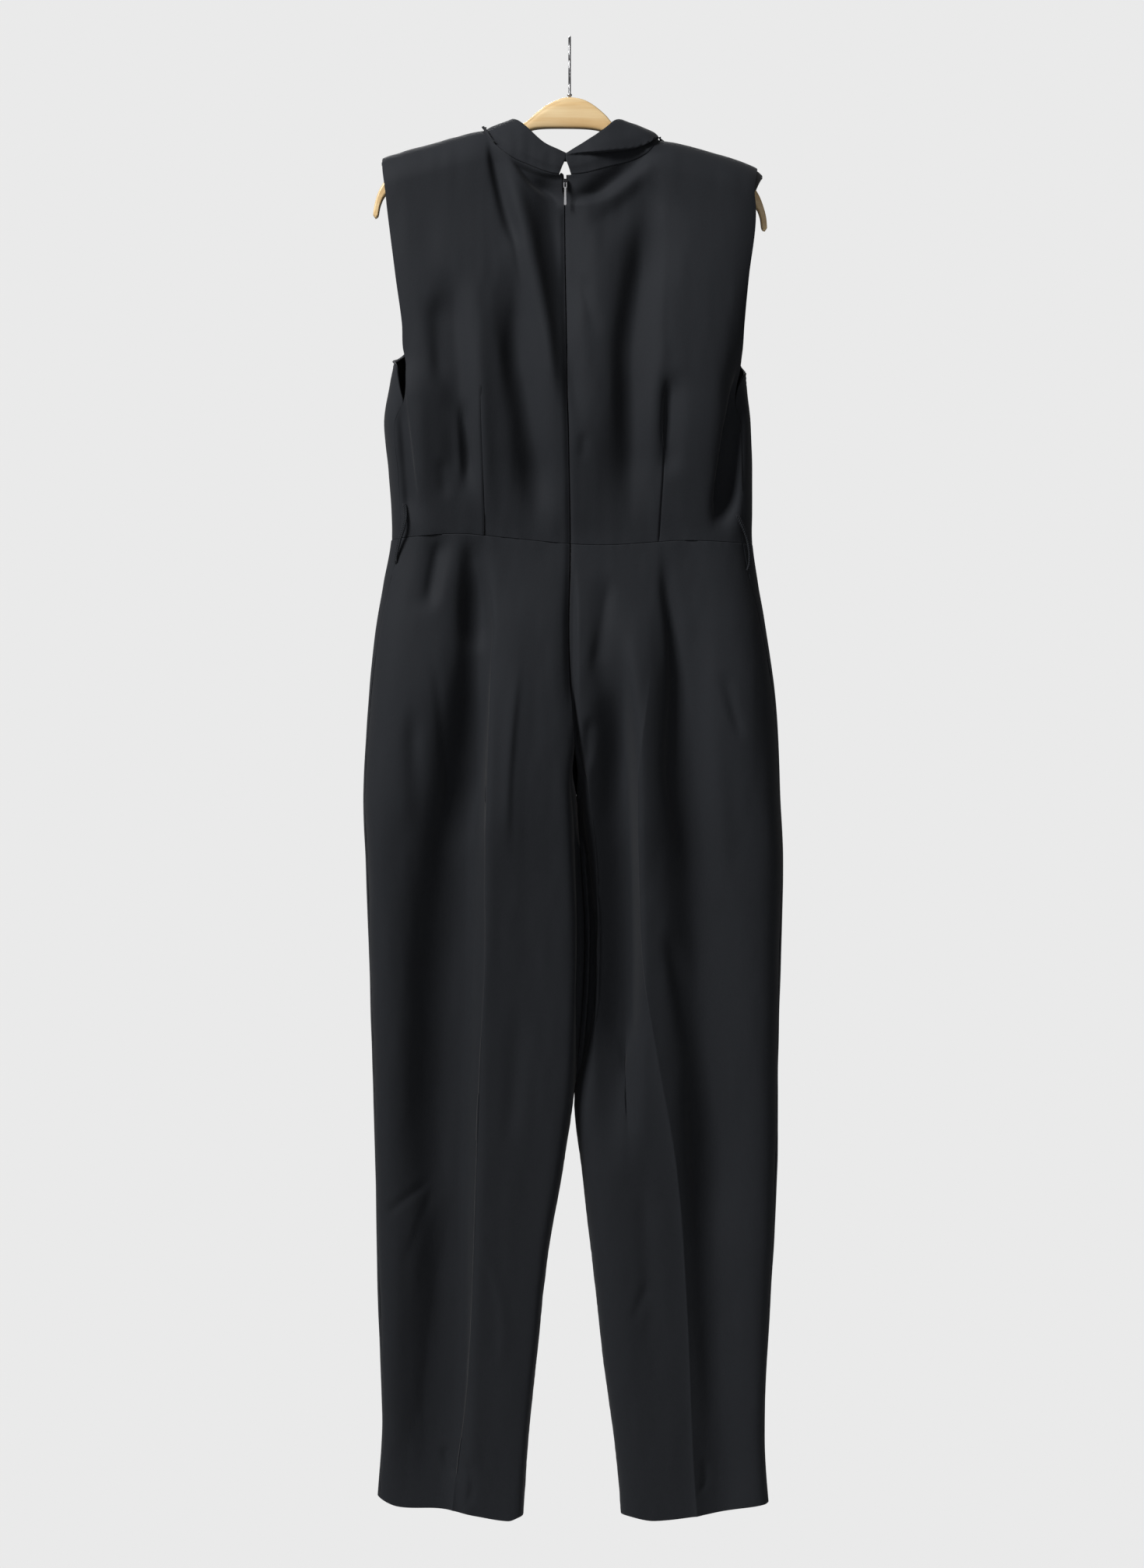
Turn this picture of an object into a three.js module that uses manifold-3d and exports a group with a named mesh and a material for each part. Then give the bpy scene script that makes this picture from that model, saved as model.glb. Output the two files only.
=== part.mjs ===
// A sleeveless jumpsuit with padded shoulders, hung on a wooden hanger, seen from its back.
// Millimetres. +Z is up, -Y is the side with the zip (the garment's back), +X is the wearer's right.
// The origin is the point inside the hook's crown where a rail carries it.
import * as THREE from "three";
import Module from "manifold-3d";

const wasm = await Module();
wasm.setup();

// Driving dimensions
const clothThickness = 1.2;
const fullness = 2.6; // how square the girth's section is
const outerFullness = 4.5; // the same for the outer half of a leg's back
const innerFullness = { left: 30, right: 8 }; // and that of each leg behind, next to the other leg
const legsPart = -1119; // the height below which the legs hang apart
const seamGap = 0.35;
const waistHeight = -530;
const crotchHeight = -862;
const crotchBlend = 165; // height over which the seat curves in to the inseam
const crotchCurve = 1.4; // above 1 the seat keeps its shape longer
const shoulderCrown = 38; // height over which front and back round into the shoulder seam
const pad = { nearNeck: 104, armLeft: -198, armRight: 203, slant: 12, reach: 78 };
const padBody = { thin: 2, thick: 10, clear: 1.2 };
const padRounding = 2.5; // how much thinner a pad is at its outer edge
const zipTape = { top: -149.5, bottom: -684, width: 22, thickness: 1, behind: 3.5 };
const hookWire = 2.8;
const hookCollar = { width: 1.8, height: 3.2 }; // its width in shares of the wire's
const boardThickness = 12;
const boardRounding = 1.9;

// How finely each piece is divided, across and down
const divided = { bodice: 16, leg: [14, 22], band: [18, 4], pad: [7, 12], tape: [4, 20] };
const stepsAlong = { carrier: 12, hook: 26 };
const crotchRow = 0.36; // share of a leg's rows above the crotch
const bunch = { bodice: 1.35, seat: 1.25 }; // how much closer together the columns and rows lie at one end
const wrapped = { columns: 0.12, from: 0.03 }; // share of the columns that turn round the outermost line

// Reach of the cloth to the left and right, and its depth behind and before the hanger
const girth = [
  { z: -80, left: -224, right: 227, back: 37, front: 37 },
  { z: -140, left: -222, right: 225, back: 41, front: 42 },
  { z: -190, left: -216, right: 219, back: 43, front: 49 },
  { z: -255, left: -204, right: 207, back: 50, front: 58 },
  { z: -320, left: -189, right: 191, back: 55, front: 64 },
  { z: -342, left: -186, right: 187, back: 56.5, front: 65 },
  { z: -362, left: -189.5, right: 186.5, back: 57, front: 65 },
  { z: -400, left: -195.5, right: 190, back: 56, front: 63 },
  { z: -427, left: -194, right: 191, back: 53, front: 59 },
  { z: -455, left: -190.5, right: 192, back: 48, front: 53 },
  { z: -500, left: -188, right: 192, back: 41, front: 44 },
  { z: -530, left: -188, right: 192, back: 38, front: 41 },
  { z: -575, left: -196.5, right: 198.5, back: 43, front: 47 },
  { z: -625, left: -204.5, right: 207, back: 51, front: 55 },
  { z: -698, left: -211.5, right: 217, back: 59, front: 61 },
  { z: -796, left: -217.5, right: 222, back: 60, front: 60 },
  { z: -862, left: -215, right: 225, back: 55, front: 56 },
  { z: -944, left: -212, right: 223, back: 48, front: 50 },
  { z: -1067, left: -208, right: 220, back: 40, front: 42 },
  { z: -1190, left: -205, right: 218.5, back: 33, front: 35 },
  { z: -1337, left: -201.5, right: 211.5, back: 27, front: 28 },
  { z: -1450, left: -198, right: 206, back: 23, front: 24 },
  { z: -1500, left: -200, right: 207, back: 21, front: 22 },
  { z: -1575, left: -206, right: 212, back: 20, front: 21 },
];

// Where the centre seam runs, and below the crotch the inner edge of each leg
const centre = [
  { z: -100, left: -4, right: -4 },
  { z: -200, left: -5, right: -5 },
  { z: -330, left: -3, right: -3 },
  { z: -450, left: -0.5, right: -0.5 },
  { z: -535, left: 0.8, right: 0.8 },
  { z: -620, left: -0.5, right: -0.5 },
  { z: -680, left: 1, right: 1 },
  { z: -740, left: 4.5, right: 4.5 },
  { z: -800, left: 7, right: 7 },
  { z: -875, left: 12.5, right: 12.5 },
  { z: -940, left: 16, right: 16 },
  { z: -1006, left: 14.5, right: 14.5 },
  { z: -1053, left: 11, right: 11 },
  { z: -1119, left: 3.6, right: 5 },
  { z: -1190, left: -7, right: 12.3 },
  { z: -1288, left: -24, right: 24 },
  { z: -1387, left: -34, right: 35 },
  { z: -1485, left: -44, right: 48 },
  { z: -1575, left: -50, right: 56 },
];

// The line from the neck point down the dart to the pressed crease of each leg, behind and before
const pressed = [
  { z: -100, left: -90, right: 96 },
  { z: -370, left: -93, right: 101 },
  { z: -530, left: -89, right: 93 },
  { z: -650, left: -90, right: 86 },
  { z: -780, left: -92, right: 71 },
  { z: -862, left: -89, right: 70 },
  { z: -970, left: -88, right: 75 },
  { z: -1067, left: -95, right: 91 },
  { z: -1190, left: -100, right: 112 },
  { z: -1337, left: -105, right: 123 },
  { z: -1485, left: -117, right: 129 },
  { z: -1575, left: -126, right: 135 },
];

// How far the side seam lies behind the side's outermost line
const seamShift = [
  { z: -388, left: 21, right: 12 },
  { z: -410, left: 13, right: 11 },
  { z: -470, left: 11, right: 12 },
  { z: -530, left: 10, right: 11 },
  { z: -620, left: 6, right: 6 },
  { z: -700, left: 3, right: 3 },
  { z: -1575, left: 2.5, right: 2.5 },
];

// Edges of the armholes: distance in from the outermost line, behind and before;
// a negative one has turned round to the back
const armhole = [
  { z: -100, backLeft: 26, backRight: 27, frontLeft: 26, frontRight: 27 },
  { z: -140, backLeft: 26, backRight: 28, frontLeft: 27, frontRight: 29 },
  { z: -165, backLeft: 27, backRight: 29.5, frontLeft: 29, frontRight: 32 },
  { z: -183, backLeft: 26.5, backRight: 25.5, frontLeft: 31, frontRight: 33 },
  { z: -206, backLeft: 25.5, backRight: 22.5, frontLeft: 32, frontRight: 33 },
  { z: -255, backLeft: 22.5, backRight: 19.5, frontLeft: 30, frontRight: 30 },
  { z: -305, backLeft: 17.5, backRight: 12, frontLeft: 20, frontRight: 16 },
  { z: -330, backLeft: 13, backRight: 7.5, frontLeft: 12, frontRight: 12 },
  { z: -342, backLeft: 14.5, backRight: 7, frontLeft: -1, frontRight: 6 },
  { z: -356, backLeft: 18.5, backRight: 7.5, frontLeft: -7, frontRight: -2 },
  { z: -372, backLeft: 22, backRight: 9.5, frontLeft: -13, frontRight: -8 },
  { z: -388, backLeft: 21, backRight: 12, frontLeft: -21, frontRight: -12 },
];
const underarm = -388;

// The shoulder line, and the necklines of back and front
const shoulder = [
  { x: -206, z: -133 },
  { x: -198, z: -127.5 },
  { x: -188, z: -123.5 },
  { x: -140, z: -110 },
  { x: -108, z: -101.5 },
  { x: -90, z: -97.5 },
  { x: -40, z: -92 },
  { x: 45, z: -96 },
  { x: 96, z: -108 },
  { x: 114, z: -111 },
  { x: 150, z: -120.5 },
  { x: 182, z: -131 },
  { x: 198, z: -138 },
  { x: 210, z: -147 },
];
const backNeck = [
  { x: -90, z: -97.5 },
  { x: -78, z: -117 },
  { x: -52, z: -136 },
  { x: -4, z: -149.5 },
  { x: 47, z: -140 },
  { x: 80, z: -127 },
  { x: 96, z: -108 },
];
const frontNeck = [
  { x: -90, z: -97.5 },
  { x: -80, z: -135 },
  { x: -56, z: -180 },
  { x: -26, z: -216 },
  { x: -4, z: -227 },
  { x: 19, z: -216 },
  { x: 52, z: -181 },
  { x: 84, z: -140 },
  { x: 96, z: -108 },
];
const neckPoint = { left: -90, right: 96 };

// The waist seam
const waistSeam = [
  { x: -192, z: -529 },
  { x: -122, z: -524 },
  { x: -88, z: -526 },
  { x: 2, z: -534.5 },
  { x: 44, z: -535.5 },
  { x: 122, z: -531 },
  { x: 195, z: -534 },
];

// Hems, which hang lower at the inseam
const hem = [
  { x: -206, z: -1532 },
  { x: -181, z: -1542 },
  { x: -133, z: -1545 },
  { x: -97, z: -1552 },
  { x: -64, z: -1557 },
  { x: -50, z: -1553 },
  { x: 55, z: -1552 },
  { x: 87, z: -1557 },
  { x: 141, z: -1551 },
  { x: 209, z: -1540 },
];

// Folds: a line from its upper to its lower end, bowed sideways, with a width on each side.
// A positive depth is a trough and a negative one is a ridge.
function fold(name, x0, z0, x1, z1, bow, left, right, depth) {
  return { name, x0, z0, x1, z1, bow, left, right, depth };
}

const backFolds = [
  fold("neck pleat", -83, -108, -55, -230, -4, 5, 12, 5),
  fold("slack above the zip", -30, -140, 8, -430, 2, 20, 12, 8),
  fold("drape beside it", -64, -140, -2, -420, 0, 10, 14, -5),
  fold("left blade trough", -60, -230, -24, -528, -4, 16, 18, 9),
  fold("left dart ridge", -98, -230, -84, -530, -1, 16, 12, -3),
  fold("left side trough", -126, -240, -102, -500, -2, 18, 13, 9),
  fold("left underarm recess", -176, -372, -166, -520, 0, 7, 11, 9),
  fold("under the right band", 84, -116, 8, -182, 6, 18, 15, 9),
  fold("right blade trough", 84, -170, 66, -528, -9, 19, 26, 12),
  fold("right dart hollow", 108, -350, 102, -470, 0, 9, 12, 6),
  fold("right underarm fold", 182, -330, 157, -530, 2, 12, 12, 15),
  fold("left hip pleat", -133, -520, -149, -610, 0, 12, 9, 5),
  fold("left dart pleat", -104, -520, -96, -650, 0, 9, 10, 6),
  fold("left seat trough", -92, -520, -103, -860, -2, 20, 10, 11),
  fold("left outer trough", -100, -620, -150, -1250, -12, 22, 40, 12),
  fold("left thigh trough", -99, -640, -124, -1650, -3, 46, 11, 20),
  fold("left thigh ridge", -86, -560, -86, -900, 0, 10, 40, -5),
  fold("right dart trough", 112, -528, 156, -1290, -5, 21, 36, 18),
  fold("right thigh ridge", 70, -590, 76, -900, -4, 16, 34, -7),
  fold("right seat hollow", 35, -560, 31, -700, 0, 11, 13, 3),
  fold("right inner trough", 52, -620, 60, -1200, 3, 30, 10, 33),
  fold("right calf trough", 146, -1090, 162, -1640, 2, 30, 28, 13),
];
const frontFolds = [
  fold("left neck drape", -76, -150, -30, -400, -6, 13, 16, 8),
  fold("right neck drape", 80, -150, 34, -420, 6, 16, 13, 8),
  fold("left bust trough", -118, -230, -104, -500, 0, 15, 15, 8),
  fold("right bust trough", 126, -250, 108, -500, 0, 15, 15, 9),
  fold("left pleat", -92, -520, -96, -700, 0, 12, 12, 8),
  fold("right pleat", 95, -520, 98, -710, 0, 12, 12, 8),
  fold("left hip trough", -138, -560, -150, -1150, 6, 24, 24, 12),
  fold("right hip trough", 142, -560, 158, -1150, -6, 24, 24, 12),
  fold("left inner trough", -34, -640, -34, -1120, -6, 18, 18, 11),
  fold("right inner trough", 44, -640, 52, -1120, 6, 18, 18, 11),
];
const foldTaper = 0.25; // share of a fold's length over which it fades at each end
const pressedRidge = { top: -640, full: -800, height: 5, left: 10, right: 28 };

// Top edge of the neckband: from the centre back (at -1) over the shoulder (at 0) to the centre front (at 1),
// and how far the band swells out halfway up
const bandLeft = [
  { at: -1, x: -4.6, y: -39, z: -126.5, swell: 2 },
  { at: -0.75, x: -26, y: -37, z: -116, swell: 3 },
  { at: -0.45, x: -45, y: -31, z: -98, swell: 4 },
  { at: -0.2, x: -57, y: -18, z: -88, swell: 3.5 },
  { at: 0, x: -63, y: 0, z: -88, swell: 3 },
  { at: 0.2, x: -61, y: 18, z: -103, swell: 2 },
  { at: 0.45, x: -50, y: 32, z: -130, swell: 3 },
  { at: 0.75, x: -28, y: 42, z: -162, swell: 4 },
  { at: 1, x: -4.5, y: 47, z: -186, swell: 4 },
];
const bandRight = [
  { at: -1, x: -3.4, y: -39, z: -126.5, swell: 3 },
  { at: -0.75, x: 19, y: -37, z: -112.5, swell: 6 },
  { at: -0.45, x: 38, y: -31, z: -98.5, swell: 7 },
  { at: -0.2, x: 50, y: -18, z: -88, swell: 7 },
  { at: 0, x: 61, y: 0, z: -90, swell: 8 },
  { at: 0.2, x: 60, y: 18, z: -105, swell: 5 },
  { at: 0.45, x: 46, y: 32, z: -130, swell: 3 },
  { at: 0.75, x: 20, y: 42, z: -161, swell: 4 },
  { at: 1, x: -3.5, y: 47, z: -186, swell: 4 },
];
const bandEnds = { from: 0.7, meetAt: 0.72 }; // where its two ends begin to close, along it and up it

// Half the opening between the back edges: the zip is open round its slider and shut below it
const backOpening = [
  { z: -126, half: 0.3 },
  { z: -133.5, half: 0.3 },
  { z: -146, half: 8.3 },
  { z: -148.5, half: 8 },
  { z: -152, half: 3 },
  { z: -166, half: 2.9 },
  { z: -173, half: 0.4 },
  { z: -900, half: 0.4 },
];

// Zip slider with the bridge that carries its pull tab
const slider = { x: -4.6, z: -159, width: 5.2, height: 9.4, depth: 3.2, inTape: 0.6 };
const sliderShape = { shoulder: 1.5, taper: 0.7 };
const bridge = { half: 0.6, reach: 2.9, post: 1, inner: 1.9, outer: 2.7 };
const pull = { standOff: 0.9, length: 23, thickness: 0.9, stemHalf: 0.85, tipFlare: 0.4 };
const pullEye = { bar: 0.5, half: 1.75, holeHalf: 0.95, holeEnd: 4.2, neck: 1.6 };

// Belt carriers over the side seams: the line of each, and how far it stands off the cloth
const carrier = { width: 4.4, thickness: 1 };
const carrierLeft = [
  { z: -493, x: -173, off: 0.9 },
  { z: -497, x: -172, off: 1.6 },
  { z: -513, x: -170.5, off: 4.5 },
  { z: -530, x: -174.5, off: 5 },
  { z: -548, x: -180, off: 2.4 },
  { z: -553, x: -181, off: 1.2 },
];
const carrierRight = [
  { z: -504, x: 175, off: 0.9 },
  { z: -508, x: 177, off: 1.6 },
  { z: -526, x: 182, off: 4.5 },
  { z: -542, x: 185, off: 4.5 },
  { z: -556, x: 187, off: 1.8 },
  { z: -561, x: 186, off: 0.9 },
];

// Outline of the hanger's board: its upper edge from the left tip to the right one, and its lower edge back
const boardTop = [
  { x: -207, z: -186 },
  { x: -205.3, z: -175 },
  { x: -200.5, z: -160 },
  { x: -192, z: -146.5 },
  { x: -184, z: -137.5 },
  { x: -176, z: -132 },
  { x: -161, z: -126.5 },
  { x: -137, z: -118 },
  { x: -121, z: -112.4 },
  { x: -105, z: -106.9 },
  { x: -90, z: -101.8 },
  { x: -62, z: -93.3 },
  { x: -47, z: -88.6 },
  { x: -36.5, z: -79.6 },
  { x: -24, z: -70 },
  { x: -10, z: -63.6 },
  { x: 0, z: -62 },
  { x: 14, z: -64.3 },
  { x: 26, z: -70.8 },
  { x: 38, z: -81 },
  { x: 47, z: -91 },
  { x: 62, z: -97.5 },
  { x: 80, z: -105.5 },
  { x: 95, z: -112.4 },
  { x: 105, z: -115.7 },
  { x: 121, z: -120.1 },
  { x: 137, z: -125.5 },
  { x: 153, z: -131.3 },
  { x: 169, z: -137.7 },
  { x: 179, z: -142.2 },
  { x: 188, z: -149 },
  { x: 196, z: -159.5 },
  { x: 201.5, z: -170 },
  { x: 206.5, z: -186 },
  { x: 208, z: -199.5 },
];
const boardBottom = [
  { x: 205.5, z: -203 },
  { x: 202, z: -200.5 },
  { x: 200, z: -188 },
  { x: 194, z: -177 },
  { x: 174, z: -166 },
  { x: 140, z: -151 },
  { x: 100, z: -133 },
  { x: 66, z: -114 },
  { x: 42, z: -101 },
  { x: 24, z: -96 },
  { x: -4, z: -94.8 },
  { x: -34, z: -95.6 },
  { x: -50, z: -101 },
  { x: -70, z: -111 },
  { x: -105, z: -127 },
  { x: -145, z: -144 },
  { x: -178, z: -156.5 },
  { x: -193, z: -165 },
  { x: -199, z: -176 },
  { x: -201.3, z: -187 },
  { x: -204.5, z: -189.8 },
];

// The wire hook, from the board up and over the rail; it lies in the plane across the board
const hookLine = [
  { y: 0, z: -61.4 },
  { y: 0, z: -55 },
  { y: 1, z: -48 },
  { y: 8, z: -40 },
  { y: 17, z: -32 },
  { y: 21.4, z: -20 },
  { y: 18.5, z: -9.3 },
  { y: 10.7, z: -1.5 },
  { y: 0, z: 1.4 },
  { y: -10.7, z: -1.5 },
  { y: -18.5, z: -9.3 },
  { y: -21.4, z: -20 },
  { y: -20.5, z: -27 },
];

// Materials
const cloth = new THREE.MeshStandardMaterial({ color: 0x26282b, roughness: 0.86, metalness: 0 });
const padding = new THREE.MeshStandardMaterial({ color: 0x242629, roughness: 0.9, metalness: 0 });
const tape = new THREE.MeshStandardMaterial({ color: 0x17181a, roughness: 0.8, metalness: 0 });
const wood = new THREE.MeshStandardMaterial({ color: 0xe6bd7c, roughness: 0.45, metalness: 0 });
const steel = new THREE.MeshStandardMaterial({ color: 0xb9bcc0, roughness: 0.25, metalness: 1 });

// Reads a table's column at a height or a width, on a smooth curve through the rows.
function read(table, column, at, by = "z") {
  const sign = table[0][by] > table[table.length - 1][by] ? -1 : 1;
  const last = table.length - 1;
  if (sign * (at - table[0][by]) <= 0) return table[0][column];
  if (sign * (at - table[last][by]) >= 0) return table[last][column];
  let i = 0;
  while (sign * (at - table[i + 1][by]) > 0) i++;
  const slope = (k) => {
    const a = table[Math.max(k - 1, 0)];
    const b = table[Math.min(k + 1, last)];
    return (b[column] - a[column]) / (b[by] - a[by]);
  };
  const span = table[i + 1][by] - table[i][by];
  const t = (at - table[i][by]) / span;
  const t2 = t * t;
  const t3 = t2 * t;
  return (
    (2 * t3 - 3 * t2 + 1) * table[i][column] +
    (t3 - 2 * t2 + t) * span * slope(i) +
    (3 * t2 - 2 * t3) * table[i + 1][column] +
    (t3 - t2) * span * slope(i + 1)
  );
}

// Reads a table on straight lines between its rows.
function readStraight(table, column, at, by = "z") {
  const sign = table[0][by] > table[table.length - 1][by] ? -1 : 1;
  const last = table.length - 1;
  let i = 0;
  while (i < last - 1 && sign * (at - table[i + 1][by]) > 0) i++;
  const t = (at - table[i][by]) / (table[i + 1][by] - table[i][by]);
  const held = Math.min(1, Math.max(0, t));
  return table[i][column] + held * (table[i + 1][column] - table[i][column]);
}

const smooth = (t) => {
  const held = Math.min(1, Math.max(0, t));
  return held * held * (3 - 2 * held);
};

// How deep the folds are at a place on one face.
function foldDepth(folds, x, z) {
  let depth = 0;
  for (const fold of folds) {
    const t = (fold.z0 - z) / (fold.z0 - fold.z1);
    if (t <= 0 || t >= 1) continue;
    const line = fold.x0 + (fold.x1 - fold.x0) * t + fold.bow * 4 * t * (1 - t);
    const away = x - line;
    const width = away < 0 ? fold.left : fold.right;
    const ends = smooth(t / foldTaper) * smooth((1 - t) / foldTaper);
    depth += fold.depth * ends * Math.exp(-((away / width) ** 2));
  }
  return depth;
}

// 0 in the seat, 1 in the legs
function legShare(z) {
  const t = Math.min(1, Math.max(0, (crotchHeight + crotchBlend - z) / crotchBlend));
  return smooth(t ** crotchCurve);
}

// A point of the cloth's outer surface. Side is left or right, across runs from 0 at the outermost
// line to 1 at the centre seam or inseam, and is negative where it has turned to the other face.
function skin(side, face, across, z) {
  const turned = across < 0;
  const share = Math.min(1, Math.abs(across));
  const onBack = (face === "back") !== turned;
  const outer = read(girth, side, z);
  const half = z > legsPart ? seamGap / 2 : 0;
  const inner = read(centre, side, z) + (side === "left" ? -half : half);
  const depth = read(girth, onBack ? "back" : "front", z);
  const leg = legShare(z);
  const seat = Math.sqrt(Math.max(0, 1 - (1 - share) ** fullness));
  const inward = 2 * share - 1;
  const backFullness = inward > 0 ? innerFullness[side] : outerFullness;
  const tube = Math.sqrt(1 - Math.abs(inward) ** (onBack ? backFullness : fullness));
  const round = (1 - leg) * seat + leg * tube;
  const x = outer + (inner - outer) * share;
  const below = read(shoulder, "z", x, "x") - z;
  const rise = Math.min(1, Math.max(0, below / shoulderCrown));
  const crown = Math.sqrt(1 - (1 - rise) ** 2);
  let y = depth * round;
  y -= foldDepth(onBack ? backFolds : frontFolds, x, z) * round;
  const line = read(pressed, side, z);
  const pressing = smooth((pressedRidge.top - z) / (pressedRidge.top - pressedRidge.full));
  const fall = x < line ? (line - x) / pressedRidge.left : (x - line) / pressedRidge.right;
  y += pressing * pressedRidge.height * Math.exp(-fall) * round;
  return new THREE.Vector3(x, (onBack ? -1 : 1) * (y * crown + seamGap / 2), z);
}

// How far across the half a given x lies.
function acrossAt(side, z, x) {
  const outer = read(girth, side, z);
  const inner = read(centre, side, z);
  return (x - outer) / (inner - outer);
}

// How far across the half a distance in from the outermost line lies.
function acrossIn(side, z, distance) {
  return distance / Math.abs(read(centre, side, z) - read(girth, side, z));
}

// The direction square to a surface at one of its places. Facing is 1 or -1.
function squareTo(surface, u, v, facing) {
  const step = 1e-3;
  const alongU = surface(Math.min(1, u + step), v).sub(surface(Math.max(0, u - step), v));
  const alongV = surface(u, Math.min(1, v + step)).sub(surface(u, Math.max(0, v - step)));
  return alongU.cross(alongV).normalize().multiplyScalar(facing);
}

// Makes a closed wall on a surface. Its inner face lies a thickness behind the outer one.
function wall(surface, columns, rows, facing, thickness = clothThickness, guide = null) {
  const outer = [];
  const inner = [];
  for (let j = 0; j <= rows; j++) {
    for (let i = 0; i <= columns; i++) {
      const [u, v] = [i / columns, j / rows];
      const point = surface(u, v);
      const away = squareTo(surface, u, v, facing);
      if (guide) guide(u, v, away);
      const through = typeof thickness === "number" ? thickness : thickness(u, v);
      outer.push(point);
      inner.push(point.clone().addScaledVector(away, -through));
    }
  }
  return closed(outer, inner, columns, rows);
}

// Joins an outer and an inner grid of points into one closed geometry that faces out.
function closed(outer, inner, columns, rows) {
  const count = outer.length;
  const width = columns + 1;
  const positions = [...outer, ...inner].flatMap((p) => [p.x, p.y, p.z]);
  const index = [];
  const quad = (a, b, c, d) => index.push(a, b, c, a, c, d);
  for (let j = 0; j < rows; j++) {
    for (let i = 0; i < columns; i++) {
      const a = j * width + i;
      quad(a, a + 1, a + 1 + width, a + width);
      quad(count + a, count + a + width, count + a + width + 1, count + a + 1);
    }
  }
  const rim = [];
  for (let i = 0; i < columns; i++) rim.push(i);
  for (let j = 0; j < rows; j++) rim.push(j * width + columns);
  for (let i = columns; i > 0; i--) rim.push(rows * width + i);
  for (let j = rows; j > 0; j--) rim.push(j * width);
  rim.forEach((a, k) => {
    const b = rim[(k + 1) % rim.length];
    quad(b, a, count + a, count + b);
  });
  const geometry = new THREE.BufferGeometry();
  geometry.setAttribute("position", new THREE.Float32BufferAttribute(positions, 3));
  geometry.setIndex(index);
  if (volumeOf(geometry) < 0) geometry.setIndex(index.slice().reverse());
  return geometry;
}

function volumeOf(geometry) {
  const p = geometry.getAttribute("position");
  const order = geometry.getIndex().array;
  let sum = 0;
  const [a, b, c] = [new THREE.Vector3(), new THREE.Vector3(), new THREE.Vector3()];
  for (let i = 0; i < order.length; i += 3) {
    a.fromBufferAttribute(p, order[i]);
    b.fromBufferAttribute(p, order[i + 1]);
    c.fromBufferAttribute(p, order[i + 2]);
    sum += a.dot(b.cross(c));
  }
  return sum / 6;
}

const group = new THREE.Group();
function add(name, geometry, material) {
  const mesh = new THREE.Mesh(geometry, material);
  mesh.name = name;
  group.add(mesh);
  return mesh;
}

// Places a column: u runs from the seam or armhole edge, over the outermost line where the piece
// turns round it, past the pressed line at lineAt, to the centre.
function columnAcross(u, edge, line, leg, lineAt, closer) {
  const wrapAt = wrapped.columns * Math.min(1, Math.max(0, -edge / wrapped.from));
  if (u < wrapAt) return edge * (1 - u / wrapAt) ** 2;
  const start = Math.max(edge, 0);
  if (u <= lineAt) {
    const t = (u - wrapAt) / (lineAt - wrapAt);
    return start + (line - start) * (1 - Math.cos((t * Math.PI) / 2));
  }
  const t = (u - lineAt) / (1 - lineAt);
  return line + (1 - line) * ((1 - leg) * t ** closer + leg * Math.sin((t * Math.PI) / 2));
}

// Bodice
const bodiceLineAt = 7 / 16;
const waistAt = (x) => read(waistSeam, "z", x, "x");

function bodiceEdge(side, face, z) {
  if (z < underarm) {
    const shift = read(seamShift, side, z) + (face === "back" ? seamGap / 2 : -seamGap / 2);
    return (face === "back" ? 1 : -1) * acrossIn(side, z, shift);
  }
  const column = face + (side === "left" ? "Left" : "Right");
  return acrossIn(side, z, read(armhole, column, z) + seamGap / 2);
}

function neckOrShoulder(side, face, x) {
  if (Math.abs(x) >= Math.abs(neckPoint[side])) return read(shoulder, "z", x, "x");
  return read(face === "back" ? backNeck : frontNeck, "z", x, "x");
}

// A point of half a bodice face. u runs from the side to the centre, v from the waist to the top.
function bodicePoint(side, face, u, v) {
  const at = (z) => {
    const line = acrossAt(side, z, read(pressed, side, z));
    return columnAcross(u, bodiceEdge(side, face, z), line, 0, bodiceLineAt, bunch.bodice);
  };
  let low = waistHeight;
  let high = -80;
  for (let k = 0; k < 30; k++) {
    const middle = (low + high) / 2;
    const x = skin(side, face, at(middle), middle).x;
    if (middle < neckOrShoulder(side, face, x)) low = middle;
    else high = middle;
  }
  const bottom = waistAt(skin(side, face, at(waistHeight), waistHeight).x) + seamGap / 2;
  const z = bottom + (low - bottom) * Math.sin((v * Math.PI) / 2);
  const point = skin(side, face, at(z), z);
  if (face === "back" && u > bodiceLineAt) {
    const t = (u - bodiceLineAt) / (1 - bodiceLineAt);
    const half = readStraight(backOpening, "half", z);
    point.x += (side === "left" ? -1 : 1) * (half - seamGap / 2) * t ** 6;
  }
  return point;
}

function frontPoint(u, v) {
  return u < 0.5 ? bodicePoint("left", "front", 2 * u, v) : bodicePoint("right", "front", 2 - 2 * u, v);
}

function addBodice() {
  const n = divided.bodice;
  add("bodice_back_left", wall((u, v) => bodicePoint("left", "back", u, v), n, n, 1), cloth);
  add("bodice_back_right", wall((u, v) => bodicePoint("right", "back", u, v), n, n, -1), cloth);
  add("bodice_front", wall(frontPoint, 2 * n, n, -1), cloth);
}

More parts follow.
